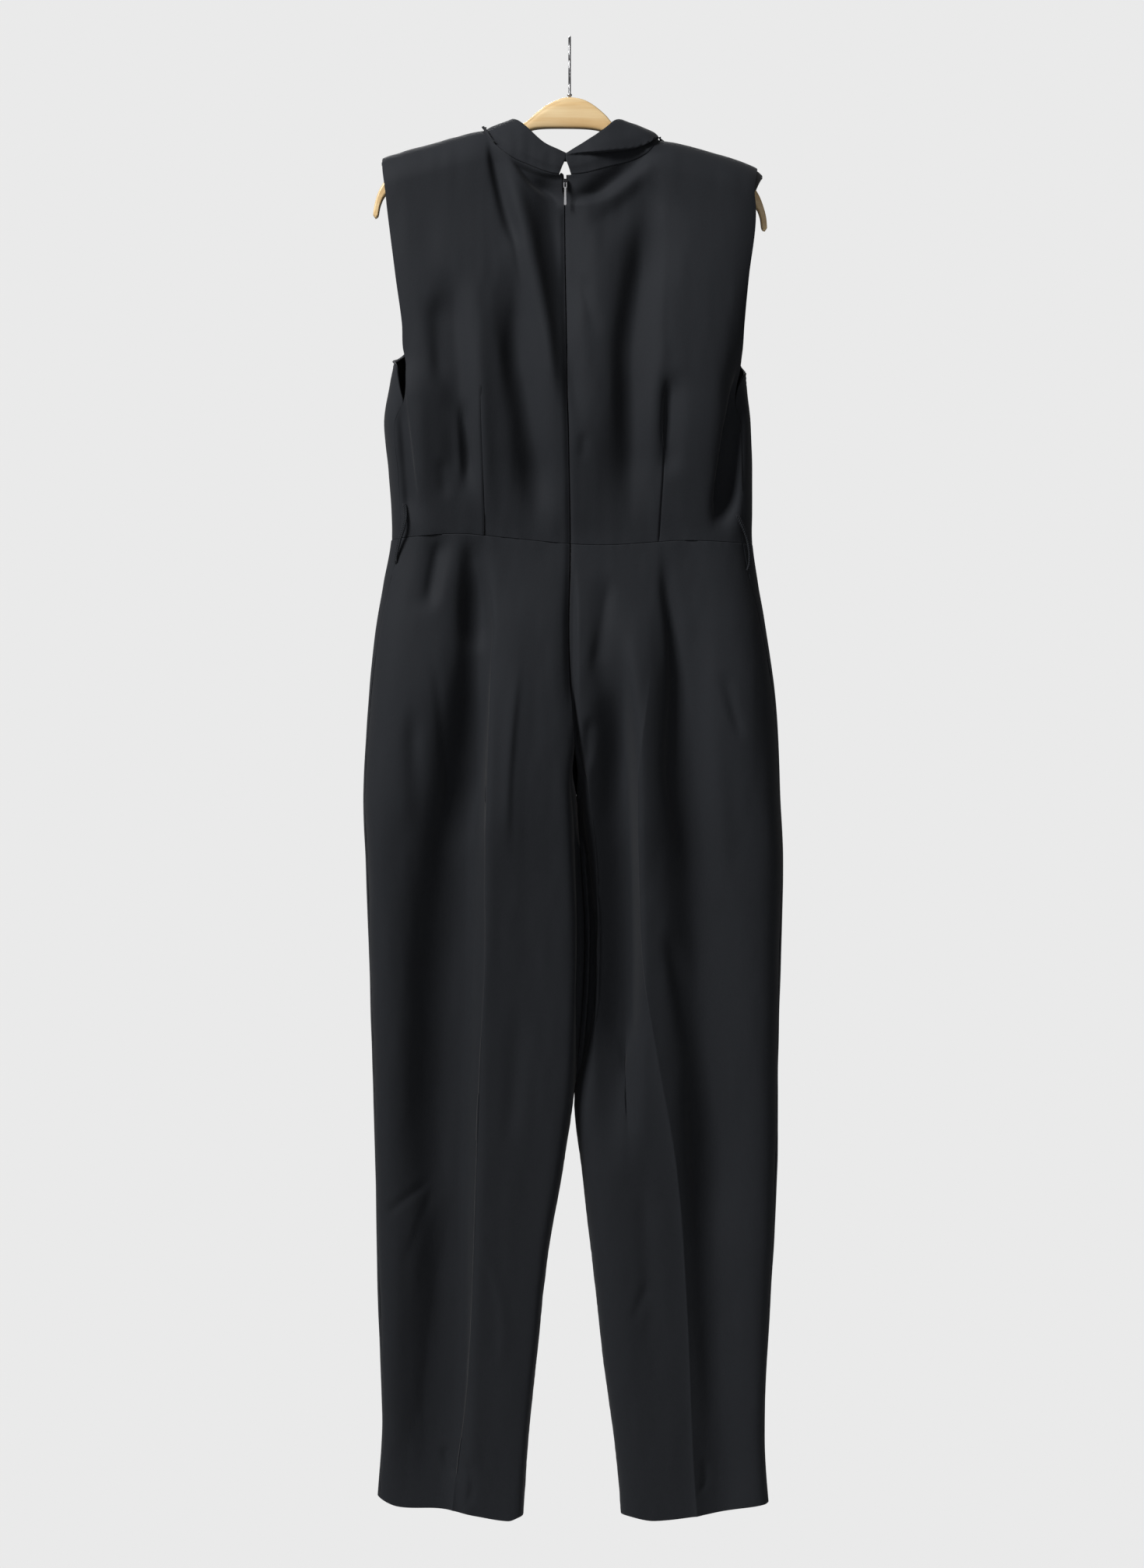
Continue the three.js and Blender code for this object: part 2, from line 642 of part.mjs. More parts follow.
// Trousers. v runs from the waist down to the crotch, then to the hem.
function trouserPoint(side, face, u, v) {
  const at = (z) => {
    const shift = read(seamShift, side, z) + (face === "back" ? seamGap / 2 : -seamGap / 2);
    const edge = (face === "back" ? 1 : -1) * acrossIn(side, z, shift);
    const line = acrossAt(side, z, read(pressed, side, z));
    return columnAcross(u, edge, line, legShare(z), 0.5, 1);
  };
  const top = waistAt(skin(side, face, at(waistHeight), waistHeight).x) - seamGap / 2;
  const bottom = read(hem, "z", skin(side, face, at(-1550), -1550).x, "x");
  if (v <= crotchRow) {
    const z = top + (crotchHeight - top) * (1 - (1 - v / crotchRow) ** bunch.seat);
    return skin(side, face, at(z), z);
  }
  const z = crotchHeight + (bottom - crotchHeight) * ((v - crotchRow) / (1 - crotchRow));
  return skin(side, face, at(z), z);
}

function addTrousers() {
  for (const side of ["left", "right"]) {
    for (const face of ["back", "front"]) {
      const facing = (side === "left" ? 1 : -1) * (face === "back" ? -1 : 1);
      const surface = (u, v) => trouserPoint(side, face, u, v);
      add(`trouser_${face}_${side}`, wall(surface, ...divided.leg, facing), cloth);
    }
  }
}

// Neckband. u runs from the centre back over the shoulder to the centre front, v from its seam to its top.
function sewnEdge(side, at) {
  const u = bodiceLineAt + (1 - bodiceLineAt) * Math.abs(at);
  const point = bodicePoint(side, at < 0 ? "back" : "front", u, 1);
  if (Math.abs(at) < 1e-9) point.y = 0;
  return point;
}

function bandPoint(side, u, v) {
  const at = 2 * u - 1;
  const table = side === "left" ? bandLeft : bandRight;
  const sewn = sewnEdge(side, at);
  const top = new THREE.Vector3(
    read(table, "x", at, "at"),
    read(table, "y", at, "at"),
    read(table, "z", at, "at"),
  );
  const up = top.clone().sub(sewn);
  const low = sewn.clone().addScaledVector(up.clone().normalize(), seamGap + 0.15);
  const out = new THREE.Vector3(sewn.x - read(centre, side, -140), sewn.y, 0).normalize();
  const swell = read(table, "swell", at, "at") * Math.sin(Math.PI * v) * Math.min(1, 2.5 * v + 0.2);
  const point = low.clone().lerp(top, v).addScaledVector(out, swell);
  // the two ends come together below the top
  const nearEnd = Math.max(0, (-at - bandEnds.from) / (1 - bandEnds.from)) ** 2;
  const gape = Math.abs(low.x - top.x) * nearEnd;
  const shut = Math.max(0, gape * (1 - v) - gape * Math.max(0, 1 - v / bandEnds.meetAt));
  point.x += side === "left" ? shut : -shut;
  return point;
}

function addNeckband() {
  for (const side of ["left", "right"]) {
    const facing = side === "left" ? -1 : 1;
    const surface = (u, v) => bandPoint(side, u, v);
    // at the seam the band is cut square to the bodice, so that the two walls stay apart
    const guide = (u, v, away) => {
      const at = 2 * u - 1;
      const across = bodiceLineAt + (1 - bodiceLineAt) * Math.abs(at);
      const face = at < 0 ? "back" : "front";
      const turn = (side === "left" ? 1 : -1) * (face === "back" ? 1 : -1);
      const sewnTo = squareTo((a, b) => bodicePoint(side, face, a, b), across, 1, turn);
      if (Math.abs(at) < 1e-9) sewnTo.set(0, 0, 1);
      away.lerp(sewnTo, (1 - v) ** 2).normalize();
    };
    add(`neckband_${side}`, wall(surface, ...divided.band, facing, clothThickness, guide), cloth);
  }
}

// Shoulder pads lie inside the shoulders and stand a little out of the armholes.
function padPoint(side, u, v, deeper) {
  const sign = side === "left" ? -1 : 1;
  let x = sign * pad.nearNeck + (pad[side === "left" ? "armLeft" : "armRight"] - sign * pad.nearNeck) * u;
  const angle = ((2 * v - 1) * pad.reach * Math.PI) / 180;
  const place = (a, along) => {
    const z = read(shoulder, "z", along, "x") - shoulderCrown * (1 - Math.cos(a));
    const face = a < 0 ? "back" : "front";
    const y = Math.abs(skin(side, face, acrossAt(side, z, along), z).y);
    return new THREE.Vector3(along, a < 0 ? -y : y, z);
  };
  x -= sign * u * pad.slant * (1 - Math.cos(angle));
  const point = place(angle, x);
  const turn = place(angle + 1e-3, x).sub(place(angle - 1e-3, x));
  const away = new THREE.Vector3(0, -turn.z, turn.y).normalize();
  if (away.z < 0) away.negate();
  return point.addScaledVector(away, -deeper);
}

function addPads() {
  for (const side of ["left", "right"]) {
    const [columns, rows] = divided.pad;
    const [outer, inner] = [[], []];
    for (let j = 0; j <= rows; j++) {
      for (let i = 0; i <= columns; i++) {
        const [u, v] = [i / columns, j / rows];
        const rounding = i === columns ? padRounding : 0;
        const edge = Math.cos(((2 * v - 1) * Math.PI) / 2) ** 2;
        const through = 1 + (padBody.thin + (padBody.thick - padBody.thin) * u) * edge - rounding * edge;
        const clear = clothThickness + padBody.clear + rounding * edge * 0.5;
        outer.push(padPoint(side, u, v, clear));
        inner.push(padPoint(side, u, v, clear + through));
      }
    }
    add(`shoulder_pad_${side}`, closed(outer, inner, columns, rows), padding);
  }
}

// Zip
function tapePoint(u, v) {
  const z = zipTape.top + (zipTape.bottom - zipTape.top) * v;
  const x = read(centre, "left", z) + (u - 0.5) * zipTape.width;
  const side = u < 0.5 ? "left" : "right";
  const point = skin(side, "back", Math.min(1, acrossAt(side, z, x)), z);
  return new THREE.Vector3(x, point.y + zipTape.behind, z);
}

function geometryOf(solid) {
  const mesh = solid.getMesh();
  const geometry = new THREE.BufferGeometry();
  geometry.setAttribute("position", new THREE.Float32BufferAttribute(mesh.vertProperties, 3));
  geometry.setIndex([...mesh.triVerts]);
  return geometry;
}

const { Manifold, CrossSection } = wasm;
function box(x, y, z, width, depth, height) {
  return Manifold.cube([width, depth, height], true).translate([x, y, z]);
}

function addZip() {
  const surface = (u, v) => tapePoint(u, v);
  add("zip_tape", wall(surface, ...divided.tape, -1, zipTape.thickness), tape);

  // the slider stands on the tape, with its bridge on the side away from the wearer
  const back = tapePoint(0.5, (slider.z - zipTape.top) / (zipTape.bottom - zipTape.top)).y - slider.inTape;
  const face = back - slider.depth;
  const [w, h] = [slider.width / 2, slider.height / 2];
  const [top, foot] = [w - 0.8 * sliderShape.shoulder, w * sliderShape.taper];
  const shoulder = h - sliderShape.shoulder;
  const outline = [[-w, shoulder], [-top, h], [top, h], [w, shoulder], [foot, -h], [-foot, -h]];
  const body = CrossSection.ofPolygons([outline.reverse()])
    .extrude(slider.depth)
    .rotate([90, 0, 0])
    .translate([slider.x, back, slider.z]);
  const middle = (bridge.inner + bridge.outer) / 2;
  const depth = bridge.outer - bridge.inner;
  const bar = box(slider.x, face - middle, slider.z, 2 * bridge.half, depth, 2 * bridge.reach);
  const posts = [-1, 1].map((end) =>
    box(
      slider.x,
      face - bridge.outer / 2 + 0.2,
      slider.z + end * (bridge.reach - bridge.post / 2),
      2 * bridge.half,
      bridge.outer + 0.4,
      bridge.post,
    ),
  );
  add("zip_slider", geometryOf(Manifold.union([body, bar, ...posts])), steel);

  // the pull tab hangs from its eye, which goes round the bridge
  const half = [
    [pullEye.half, pullEye.bar],
    [pullEye.half, -pullEye.holeEnd],
    [pull.stemHalf, -pullEye.holeEnd - pullEye.neck],
    [pull.stemHalf + pull.tipFlare, -pull.length + 1],
    [pull.stemHalf - 0.1, -pull.length],
  ];
  const tab = [...half, ...half.map(([x, z]) => [-x, z]).reverse()];
  const hole = [
    [-pullEye.holeHalf, -pullEye.bar],
    [pullEye.holeHalf, -pullEye.bar],
    [pullEye.holeHalf, -pullEye.holeEnd],
    [-pullEye.holeHalf, -pullEye.holeEnd],
  ];
  const plate = CrossSection.ofPolygons([tab.reverse()])
    .subtract(CrossSection.ofPolygons([hole.reverse()]))
    .extrude(pull.thickness)
    .rotate([90, 0, 0])
    .translate([slider.x, face - pull.standOff + pull.thickness / 2, slider.z]);
  add("zip_pull", geometryOf(plate), steel);
}

// Sweeps a flat or round section along a list of places, each with two directions that span the section.
function sweep(places, section) {
  const count = section.length;
  const positions = [];
  for (const { point, across, up } of places) {
    for (const [a, b] of section) {
      const p = point.clone().addScaledVector(across, a).addScaledVector(up, b);
      positions.push(p.x, p.y, p.z);
    }
  }
  const index = [];
  for (let j = 0; j < places.length - 1; j++) {
    for (let i = 0; i < count; i++) {
      const [a, b] = [j * count + i, j * count + ((i + 1) % count)];
      index.push(a, b, b + count, a, b + count, a + count);
    }
  }
  const end = (places.length - 1) * count;
  for (let i = 1; i < count - 1; i++) index.push(0, i + 1, i, end, end + i, end + i + 1);
  const geometry = new THREE.BufferGeometry();
  geometry.setAttribute("position", new THREE.Float32BufferAttribute(positions, 3));
  geometry.setIndex(index);
  if (volumeOf(geometry) < 0) geometry.setIndex(index.slice().reverse());
  return geometry;
}

// Belt carriers
function addCarriers() {
  const half = [carrier.width / 2, carrier.thickness / 2];
  const section = [[-half[0], -half[1]], [half[0], -half[1]], [half[0], half[1]], [-half[0], half[1]]];
  for (const [side, table] of [["left", carrierLeft], ["right", carrierRight]]) {
    const top = table[0].z;
    const height = table[table.length - 1].z - top;
    const on = (t, off) => {
      const z = top + height * t;
      const across = acrossAt(side, z, read(table, "x", z));
      const point = skin(side, "back", across, z);
      const beside = skin(side, "back", across + 0.002, z).sub(point);
      const below = skin(side, "back", across, z - 0.5).sub(point);
      const away = beside.cross(below).normalize();
      if (away.y > 0) away.negate();
      return { point: point.addScaledVector(away, off ? read(table, "off", z) : 0), away };
    };
    const places = [];
    for (let k = 0; k <= stepsAlong.carrier; k++) {
      const t = k / stepsAlong.carrier;
      const { point, away } = on(t, true);
      const [before, after] = [on(Math.max(0, t - 0.01), true), on(Math.min(1, t + 0.01), true)];
      const along = after.point.sub(before.point).normalize();
      const across = along.clone().cross(away).normalize();
      places.push({ point, across, up: across.clone().cross(along) });
    }
    add(`belt_loop_${side}`, sweep(places, section), cloth);
  }
}

// Hanger
function addHanger() {
  const shape = new THREE.Shape([...boardTop, ...boardBottom].map((p) => new THREE.Vector2(p.x, p.z)));
  const bevel = boardRounding;
  const board = new THREE.ExtrudeGeometry(shape, {
    depth: boardThickness - 2 * bevel,
    bevelEnabled: true,
    bevelThickness: bevel,
    bevelSize: bevel,
    bevelOffset: -bevel,
    bevelSegments: 2,
  });
  board.rotateX(Math.PI / 2).translate(0, boardThickness / 2 - bevel, 0);
  add("hanger_board", board, wood);

  const points = hookLine.map((p) => new THREE.Vector3(0, p.y, p.z));
  const path = new THREE.CatmullRomCurve3(points, false, "centripetal");
  const section = [];
  for (let k = 0; k < 8; k++) {
    const a = (k * Math.PI) / 4;
    section.push([(Math.cos(a) * hookWire) / 2, (Math.sin(a) * hookWire) / 2]);
  }
  const places = [];
  for (let k = 0; k <= stepsAlong.hook; k++) {
    const point = path.getPoint(k / stepsAlong.hook);
    const along = path.getTangent(k / stepsAlong.hook);
    const across = new THREE.Vector3(1, 0, 0);
    places.push({ point, across, up: across.clone().cross(along) });
  }
  // a collar where the wire meets the board
  const foot = places[0];
  const ring = (z, scale) => ({
    point: new THREE.Vector3(0, 0, z),
    across: foot.across.clone().multiplyScalar(scale),
    up: foot.up.clone().multiplyScalar(scale),
  });
  const z = hookLine[0].z;
  const { width, height } = hookCollar;
  const collar = [
    ring(z, width),
    ring(z + 0.75 * height, width),
    ring(z + 0.93 * height, 1.4),
    ring(z + height, 1),
  ];
  add("hanger_hook", sweep([...collar, ...places.slice(2)], section), steel);
}

addBodice();
addNeckband();
addTrousers();
addPads();
addZip();
addCarriers();
addHanger();

export default group;
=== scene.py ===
import math

import bpy
import numpy as np
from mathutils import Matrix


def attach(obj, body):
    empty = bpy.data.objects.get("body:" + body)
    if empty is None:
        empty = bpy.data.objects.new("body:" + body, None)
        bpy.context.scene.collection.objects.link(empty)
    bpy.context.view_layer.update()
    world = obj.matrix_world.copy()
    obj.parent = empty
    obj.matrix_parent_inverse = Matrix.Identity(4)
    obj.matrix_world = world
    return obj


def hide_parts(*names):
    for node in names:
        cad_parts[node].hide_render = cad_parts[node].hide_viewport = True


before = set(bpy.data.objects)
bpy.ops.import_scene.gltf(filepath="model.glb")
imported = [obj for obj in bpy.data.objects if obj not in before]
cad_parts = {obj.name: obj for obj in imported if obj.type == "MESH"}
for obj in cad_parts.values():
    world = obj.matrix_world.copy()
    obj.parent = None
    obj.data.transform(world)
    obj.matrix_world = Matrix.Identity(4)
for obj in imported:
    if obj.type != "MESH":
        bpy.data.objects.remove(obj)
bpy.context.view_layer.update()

# A sleeveless jumpsuit on a wooden hanger, with its back to the camera. Sizes in the tables are
# millimetres in the model's own frame: +Z is up, -Y faces the camera, the origin is in the hook's crown.
mm = 0.001
body = "garment"


def rows(columns, *lines):
    return {name: np.array([line[k] for line in lines], float) for k, name in enumerate(columns.split())}


# The cut: how far the cloth reaches left and right, and its depth behind and before the hanger
girth = rows(
    "z left right back front",
    (-80, -224, 227, 37, 37),
    (-140, -222, 225, 41, 42),
    (-190, -216, 219, 43, 49),
    (-255, -204, 207, 50, 58),
    (-320, -189, 191, 55, 64),
    (-342, -186, 187, 56.5, 65),
    (-362, -189.5, 186.5, 57, 65),
    (-400, -195.5, 190, 56, 63),
    (-427, -194, 191, 53, 59),
    (-455, -190.5, 192, 48, 53),
    (-500, -188, 192, 41, 44),
    (-530, -188, 192, 38, 41),
    (-575, -196.5, 198.5, 43, 47),
    (-625, -204.5, 207, 51, 55),
    (-698, -211.5, 217, 59, 61),
    (-796, -217.5, 222, 60, 60),
    (-862, -215, 225, 55, 56),
    (-944, -212, 223, 48, 50),
    (-1067, -208, 220, 40, 42),
    (-1190, -205, 218.5, 33, 35),
    (-1337, -201.5, 211.5, 27, 28),
    (-1450, -198, 206, 23, 24),
    (-1500, -200, 207, 21, 22),
    (-1575, -206, 212, 20, 21),
)

# The centre seam, and below the crotch the inner edge of each leg
centre = rows(
    "z left right",
    (-100, -4, -4),
    (-200, -5, -5),
    (-330, -3, -3),
    (-450, -0.5, -0.5),
    (-535, 0.8, 0.8),
    (-620, -0.5, -0.5),
    (-680, 1, 1),
    (-740, 4.5, 4.5),
    (-800, 7, 7),
    (-875, 12.5, 12.5),
    (-940, 16, 16),
    (-1006, 14.5, 14.5),
    (-1053, 11, 11),
    (-1119, 3.6, 5),
    (-1190, -7, 12.3),
    (-1288, -24, 24),
    (-1387, -34, 35),
    (-1485, -44, 48),
    (-1575, -50, 56),
)

# The line that runs down the dart to the pressed crease of each leg
pressed = rows(
    "z left right",
    (-100, -90, 96),
    (-370, -93, 101),
    (-530, -89, 93),
    (-650, -90, 86),
    (-780, -92, 71),
    (-862, -89, 70),
    (-970, -88, 75),
    (-1067, -95, 91),
    (-1190, -100, 112),
    (-1337, -105, 123),
    (-1485, -117, 129),
    (-1575, -126, 135),
)

# How far the side seam lies behind the outermost line
seamShift = rows(
    "z left right",
    (-388, 21, 12),
    (-410, 13, 11),
    (-470, 11, 12),
    (-530, 10, 11),
    (-620, 6, 6),
    (-700, 3, 3),
    (-1575, 2.5, 2.5),
)

# Edges of the armholes, in from the outermost line; a negative one has turned to the back
armhole = rows(
    "z backLeft backRight frontLeft frontRight",
    (-100, 26, 27, 26, 27),
    (-140, 26, 28, 27, 29),
    (-165, 27, 29.5, 29, 32),
    (-183, 26.5, 25.5, 31, 33),
    (-206, 25.5, 22.5, 32, 33),
    (-255, 22.5, 19.5, 30, 30),
    (-305, 17.5, 12, 20, 16),
    (-330, 13, 7.5, 12, 12),
    (-342, 14.5, 7, -1, 6),
    (-356, 18.5, 7.5, -7, -2),
    (-372, 22, 9.5, -13, -8),
    (-388, 21, 12, -21, -12),
)

shoulder = rows(
    "x z",
    (-206, -133), (-198, -127.5), (-188, -123.5), (-140, -110), (-108, -101.5), (-90, -97.5), (-40, -92),
    (45, -96), (96, -108), (114, -111), (150, -120.5), (182, -131), (198, -138), (210, -147),
)
backNeck = rows(
    "x z",
    (-90, -97.5), (-78, -117), (-52, -136), (-4, -149.5), (47, -140), (80, -127), (96, -108),
)
frontNeck = rows(
    "x z",
    (-90, -97.5), (-80, -135), (-56, -180), (-26, -216), (-4, -227), (19, -216), (52, -181), (84, -140),
    (96, -108),
)
waistSeam = rows(
    "x z",
    (-192, -529), (-122, -524), (-88, -526), (2, -534.5), (44, -535.5), (122, -531), (195, -534),
)
hem = rows(
    "x z",
    (-206, -1532), (-181, -1542), (-133, -1545), (-97, -1552), (-64, -1557), (-50, -1553), (55, -1552),
    (87, -1557), (141, -1551), (209, -1540),
)

cut = {
    "waist": -530,
    "crotch": -862,
    "crotchBlend": 165,
    "underarm": -388,
    "crown": 38,
    "fullness": 2.6,
    "backFullness": 12,
    "innerFullness": {"left": 30, "right": 8},
    "seamGap": 0.35,
    "neckLeft": 90,
    "neckRight": 96,
    "dartAt": 7 / 16,
    "wrapColumns": 0.12,
    "wrapOver": 0.03,
    "legsPart": -1119,
}

# The garment's large folds: a line from its upper to its lower end, bowed sideways, with a width on each
# side. A positive depth is a trough and a negative one a ridge.
backFolds = [
    ("neck pleat", -83, -108, -55, -230, -4, 5, 12, 5),
    ("slack above the zip", -30, -140, 8, -430, 2, 20, 12, 8),
    ("drape beside it", -64, -140, -2, -420, 0, 10, 14, -5),
    ("left blade trough", -60, -230, -24, -528, -4, 16, 18, 9),
    ("left dart ridge", -98, -230, -84, -530, -1, 16, 12, -3),
    ("left side trough", -126, -240, -102, -500, -2, 18, 13, 9),
    ("left underarm recess", -176, -372, -166, -520, 0, 7, 11, 9),
    ("under the right band", 84, -116, 8, -182, 6, 18, 15, 9),
    ("right blade trough", 84, -170, 66, -528, -9, 19, 26, 12),
    ("right dart hollow", 108, -350, 102, -470, 0, 9, 12, 6),
    ("right underarm fold", 182, -330, 157, -530, 2, 12, 12, 15),
    ("left hip pleat", -133, -520, -149, -610, 0, 12, 9, 5),
    ("left dart pleat", -104, -520, -96, -650, 0, 9, 10, 6),
    ("left seat trough", -92, -520, -103, -860, -2, 20, 10, 11),
    ("left outer trough", -100, -620, -150, -1250, -12, 22, 40, 12),
    ("left thigh trough", -99, -640, -124, -1650, -3, 46, 11, 20),
    ("left thigh ridge", -86, -560, -86, -900, 0, 10, 40, -5),
    ("right dart trough", 112, -528, 156, -1290, -5, 21, 36, 18),
    ("right thigh ridge", 70, -590, 76, -900, -4, 16, 34, -7),
    ("right seat hollow", 35, -560, 31, -700, 0, 11, 13, 3),
    ("right inner trough", 52, -620, 60, -1200, 3, 30, 10, 33),
    ("right calf trough", 146, -1090, 162, -1640, 2, 30, 28, 13),
]
frontFolds = [
    ("left neck drape", -76, -150, -30, -400, -6, 13, 16, 8),
    ("right neck drape", 80, -150, 34, -420, 6, 16, 13, 8),
    ("left bust trough", -118, -230, -104, -500, 0, 15, 15, 8),
    ("right bust trough", 126, -250, 108, -500, 0, 15, 15, 9),
    ("left pleat", -92, -520, -96, -700, 0, 12, 12, 8),
    ("right pleat", 95, -520, 98, -710, 0, 12, 12, 8),
    ("left hip trough", -138, -560, -150, -1150, 6, 24, 24, 12),
    ("right hip trough", 142, -560, 158, -1150, -6, 24, 24, 12),
    ("left inner trough", -34, -640, -34, -1120, -6, 18, 18, 11),
    ("right inner trough", 44, -640, 52, -1120, 6, 18, 18, 11),
]
crease = {
    "top": -640, "full": -800, "height": 5, "left": 10, "right": 28,
    "sharp": {"left": 1.6, "right": 0.7}, "sharpOver": 160, "steep": 2.2, "gentle": 7,
}

# Smaller creases, laid along lines (x, z) with a width to the left and right, and a depth. A
# line on the back runs where the fold looks darkest or brightest, which is the slope left of its axis.
shadeShift = 0.7
laid = {
    "reach": 3.2, "widthVaries": 0.2, "depthVaries": 0.2, "ripple": 0.07,
    "upperFade": 0.26, "lowerFade": 0.34,
}
backCreases = [
    ("neck pleat", [
        (-89, -98), (-80, -142), (-71, -177), (-62, -206), (-55, -245), (-48, -290),
    ], 3, 9, 1.5),
    ("drape ridge", [
        (-76, -124), (-61, -171), (-49, -215), (-35, -276), (-26, -338), (-20, -400),
    ], 8, 9, -4),
    ("slack crease", [(-70, -112), (-58, -136), (-43, -156), (-24, -170), (-8, -183)], 4, 9, 8),
    ("slack below it", [
        (-48, -120), (-30, -155), (-18, -190), (-12, -230), (-9, -270), (-8, -330),
    ], 16, 14, 8),
    ("band shadow", [(84, -150), (56, -176), (28, -196), (8, -212)], 14, 26, 5),
    ("left blade", [
        (-74, -280), (-68, -340), (-59, -383), (-51, -430), (-46, -480), (-43, -524),
    ], 16, 15, 8),
    ("left dart ridge", [(-108, -300), (-101, -352), (-98, -411), (-94, -505)], 9, 7, -1.5),
    ("left side", [(-148, -270), (-145, -330), (-141, -385)], 12, 10, 3.5),
    ("left second dimple", [(-116, -380), (-113, -430), (-110, -485)], 6, 8, 4),
    ("left dimple", [(-137, -445), (-134, -490)], 6, 6, 2.4),
    ("left dimple ridge", [(-122, -385), (-120, -430), (-117, -480)], 7, 6, -3),
    ("by the zip", [(8, -250), (15, -285), (24, -325)], 6, 8, 1.6),
    ("zip dimple", [(12, -420), (10, -450)], 4, 5, 1.4),
    ("right blade", [
        (80, -122), (72, -215), (60, -274), (50, -324), (50, -382), (54, -440), (56, -505),
    ], 13, 17, 5),
    ("right blade ridge", [(90, -215), (89, -309), (86, -352), (77, -411), (82, -500)], 10, 8, -1.5),
    ("right dart dimple", [(100, -362), (98, -400), (96, -445)], 4, 5, 3),
    ("left fold edge", [(-173, -342), (-167, -389), (-160, -460), (-156, -505)], 4, 20, -6),
    ("right deep fold", [
        (175, -345), (168, -388), (162, -419), (158, -450), (154, -481), (150, -522),
    ], 4, 12, 11),
    ("side pleat", [(-138, -526), (-145, -560), (-152, -600)], 4, 8, 2),
    ("second pleat", [
        (-112, -526), (-111, -570), (-108, -611), (-105, -650), (-114, -705), (-127, -775), (-143, -850),
        (-153, -940),
    ], 16, 28, 7.5),
    ("left pressed valley", [
        (-108, -580), (-107, -700), (-107, -850), (-110, -1000), (-114, -1150), (-120, -1293),
        (-130, -1430), (-137, -1540),
    ], 20, 8, 5),
    ("creased hollow", [(-146, -645), (-138, -702), (-128, -783), (-124, -830)], 4, 5, 1.8),
    ("left thigh line", [(-58, -650), (-66, -736), (-70, -815), (-68, -880)], 8, 4, -2),
    ("left hip hollow", [(-172, -700), (-168, -780), (-160, -860)], 12, 12, 4),
    ("left calf hollow", [
        (-152, -850), (-155, -948), (-153, -1053), (-152, -1200), (-150, -1330),
    ], 18, 20, 7),
    ("upper drag line", [(-200, -1240), (-172, -1216), (-143, -1197)], 5, 5, 1.8),
    ("lower drag line", [(-143, -1203), (-160, -1245), (-178, -1297)], 5, 8, 1.1),
    ("left crinkle", [(-96, -1262), (-82, -1300), (-73, -1345), (-78, -1420)], 4, 6, -1.3),
    ("left knee fold", [(-60, -1010), (-66, -1090), (-74, -1180)], 12, 12, 2.5),
    ("left shin", [(-152, -1210), (-154, -1330), (-156, -1440), (-160, -1545)], 26, 26, 7),
    ("left hem crinkle", [(-135, -1478), (-130, -1500), (-118, -1512)], 3, 5, 2),
    ("left hem fold", [(-112, -1490), (-106, -1520), (-112, -1545)], 4, 7, 2.4),
    ("seat hollow", [(38, -565), (27, -642), (19, -680)], 6, 8, 2),
    ("inner drag", [(18, -712), (12, -775)], 5, 7, 3),
    ("inner fill", [(42, -1030), (46, -1110), (48, -1210)], 20, 14, -7),
    ("seat wedge", [(-4, -550), (-4, -640), (-4, -700), (0, -750), (10, -830)], 12, 3, 8),
    ("inner recess", [
        (5, -720), (9, -790), (13, -850), (15, -930), (13, -1010), (10, -1080), (10, -1140),
    ], 10, 34, 10),
    ("inner sliver", [(28, -900), (26, -1005)], 4, 5, -1),
    ("right dart fold", [
        (94, -528), (96, -580), (103, -626), (106, -689), (102, -767), (112, -840), (124, -905),
    ], 7, 10, 7),
    ("outer ridge", [(141, -600), (144, -720), (148, -815), (164, -920)], 10, 10, -3.5),
    ("oblique crease", [(154, -664), (165, -705), (177, -745)], 5, 7, 2.5),
    ("right knee fold", [(96, -930), (112, -1010), (126, -1090)], 8, 12, 4),
    ("right calf band", [(118, -1040), (128, -1150), (136, -1300), (146, -1490)], 10, 16, 7),
    ("right hem crinkle", [(137, -1490), (140, -1513), (132, -1530)], 3, 5, 2.2),
    ("right inner shin", [(66, -1180), (74, -1300), (86, -1420)], 12, 12, 2),
    ("right crinkle", [(80, -1306), (60, -1354)], 4, 5, 1.5),
]
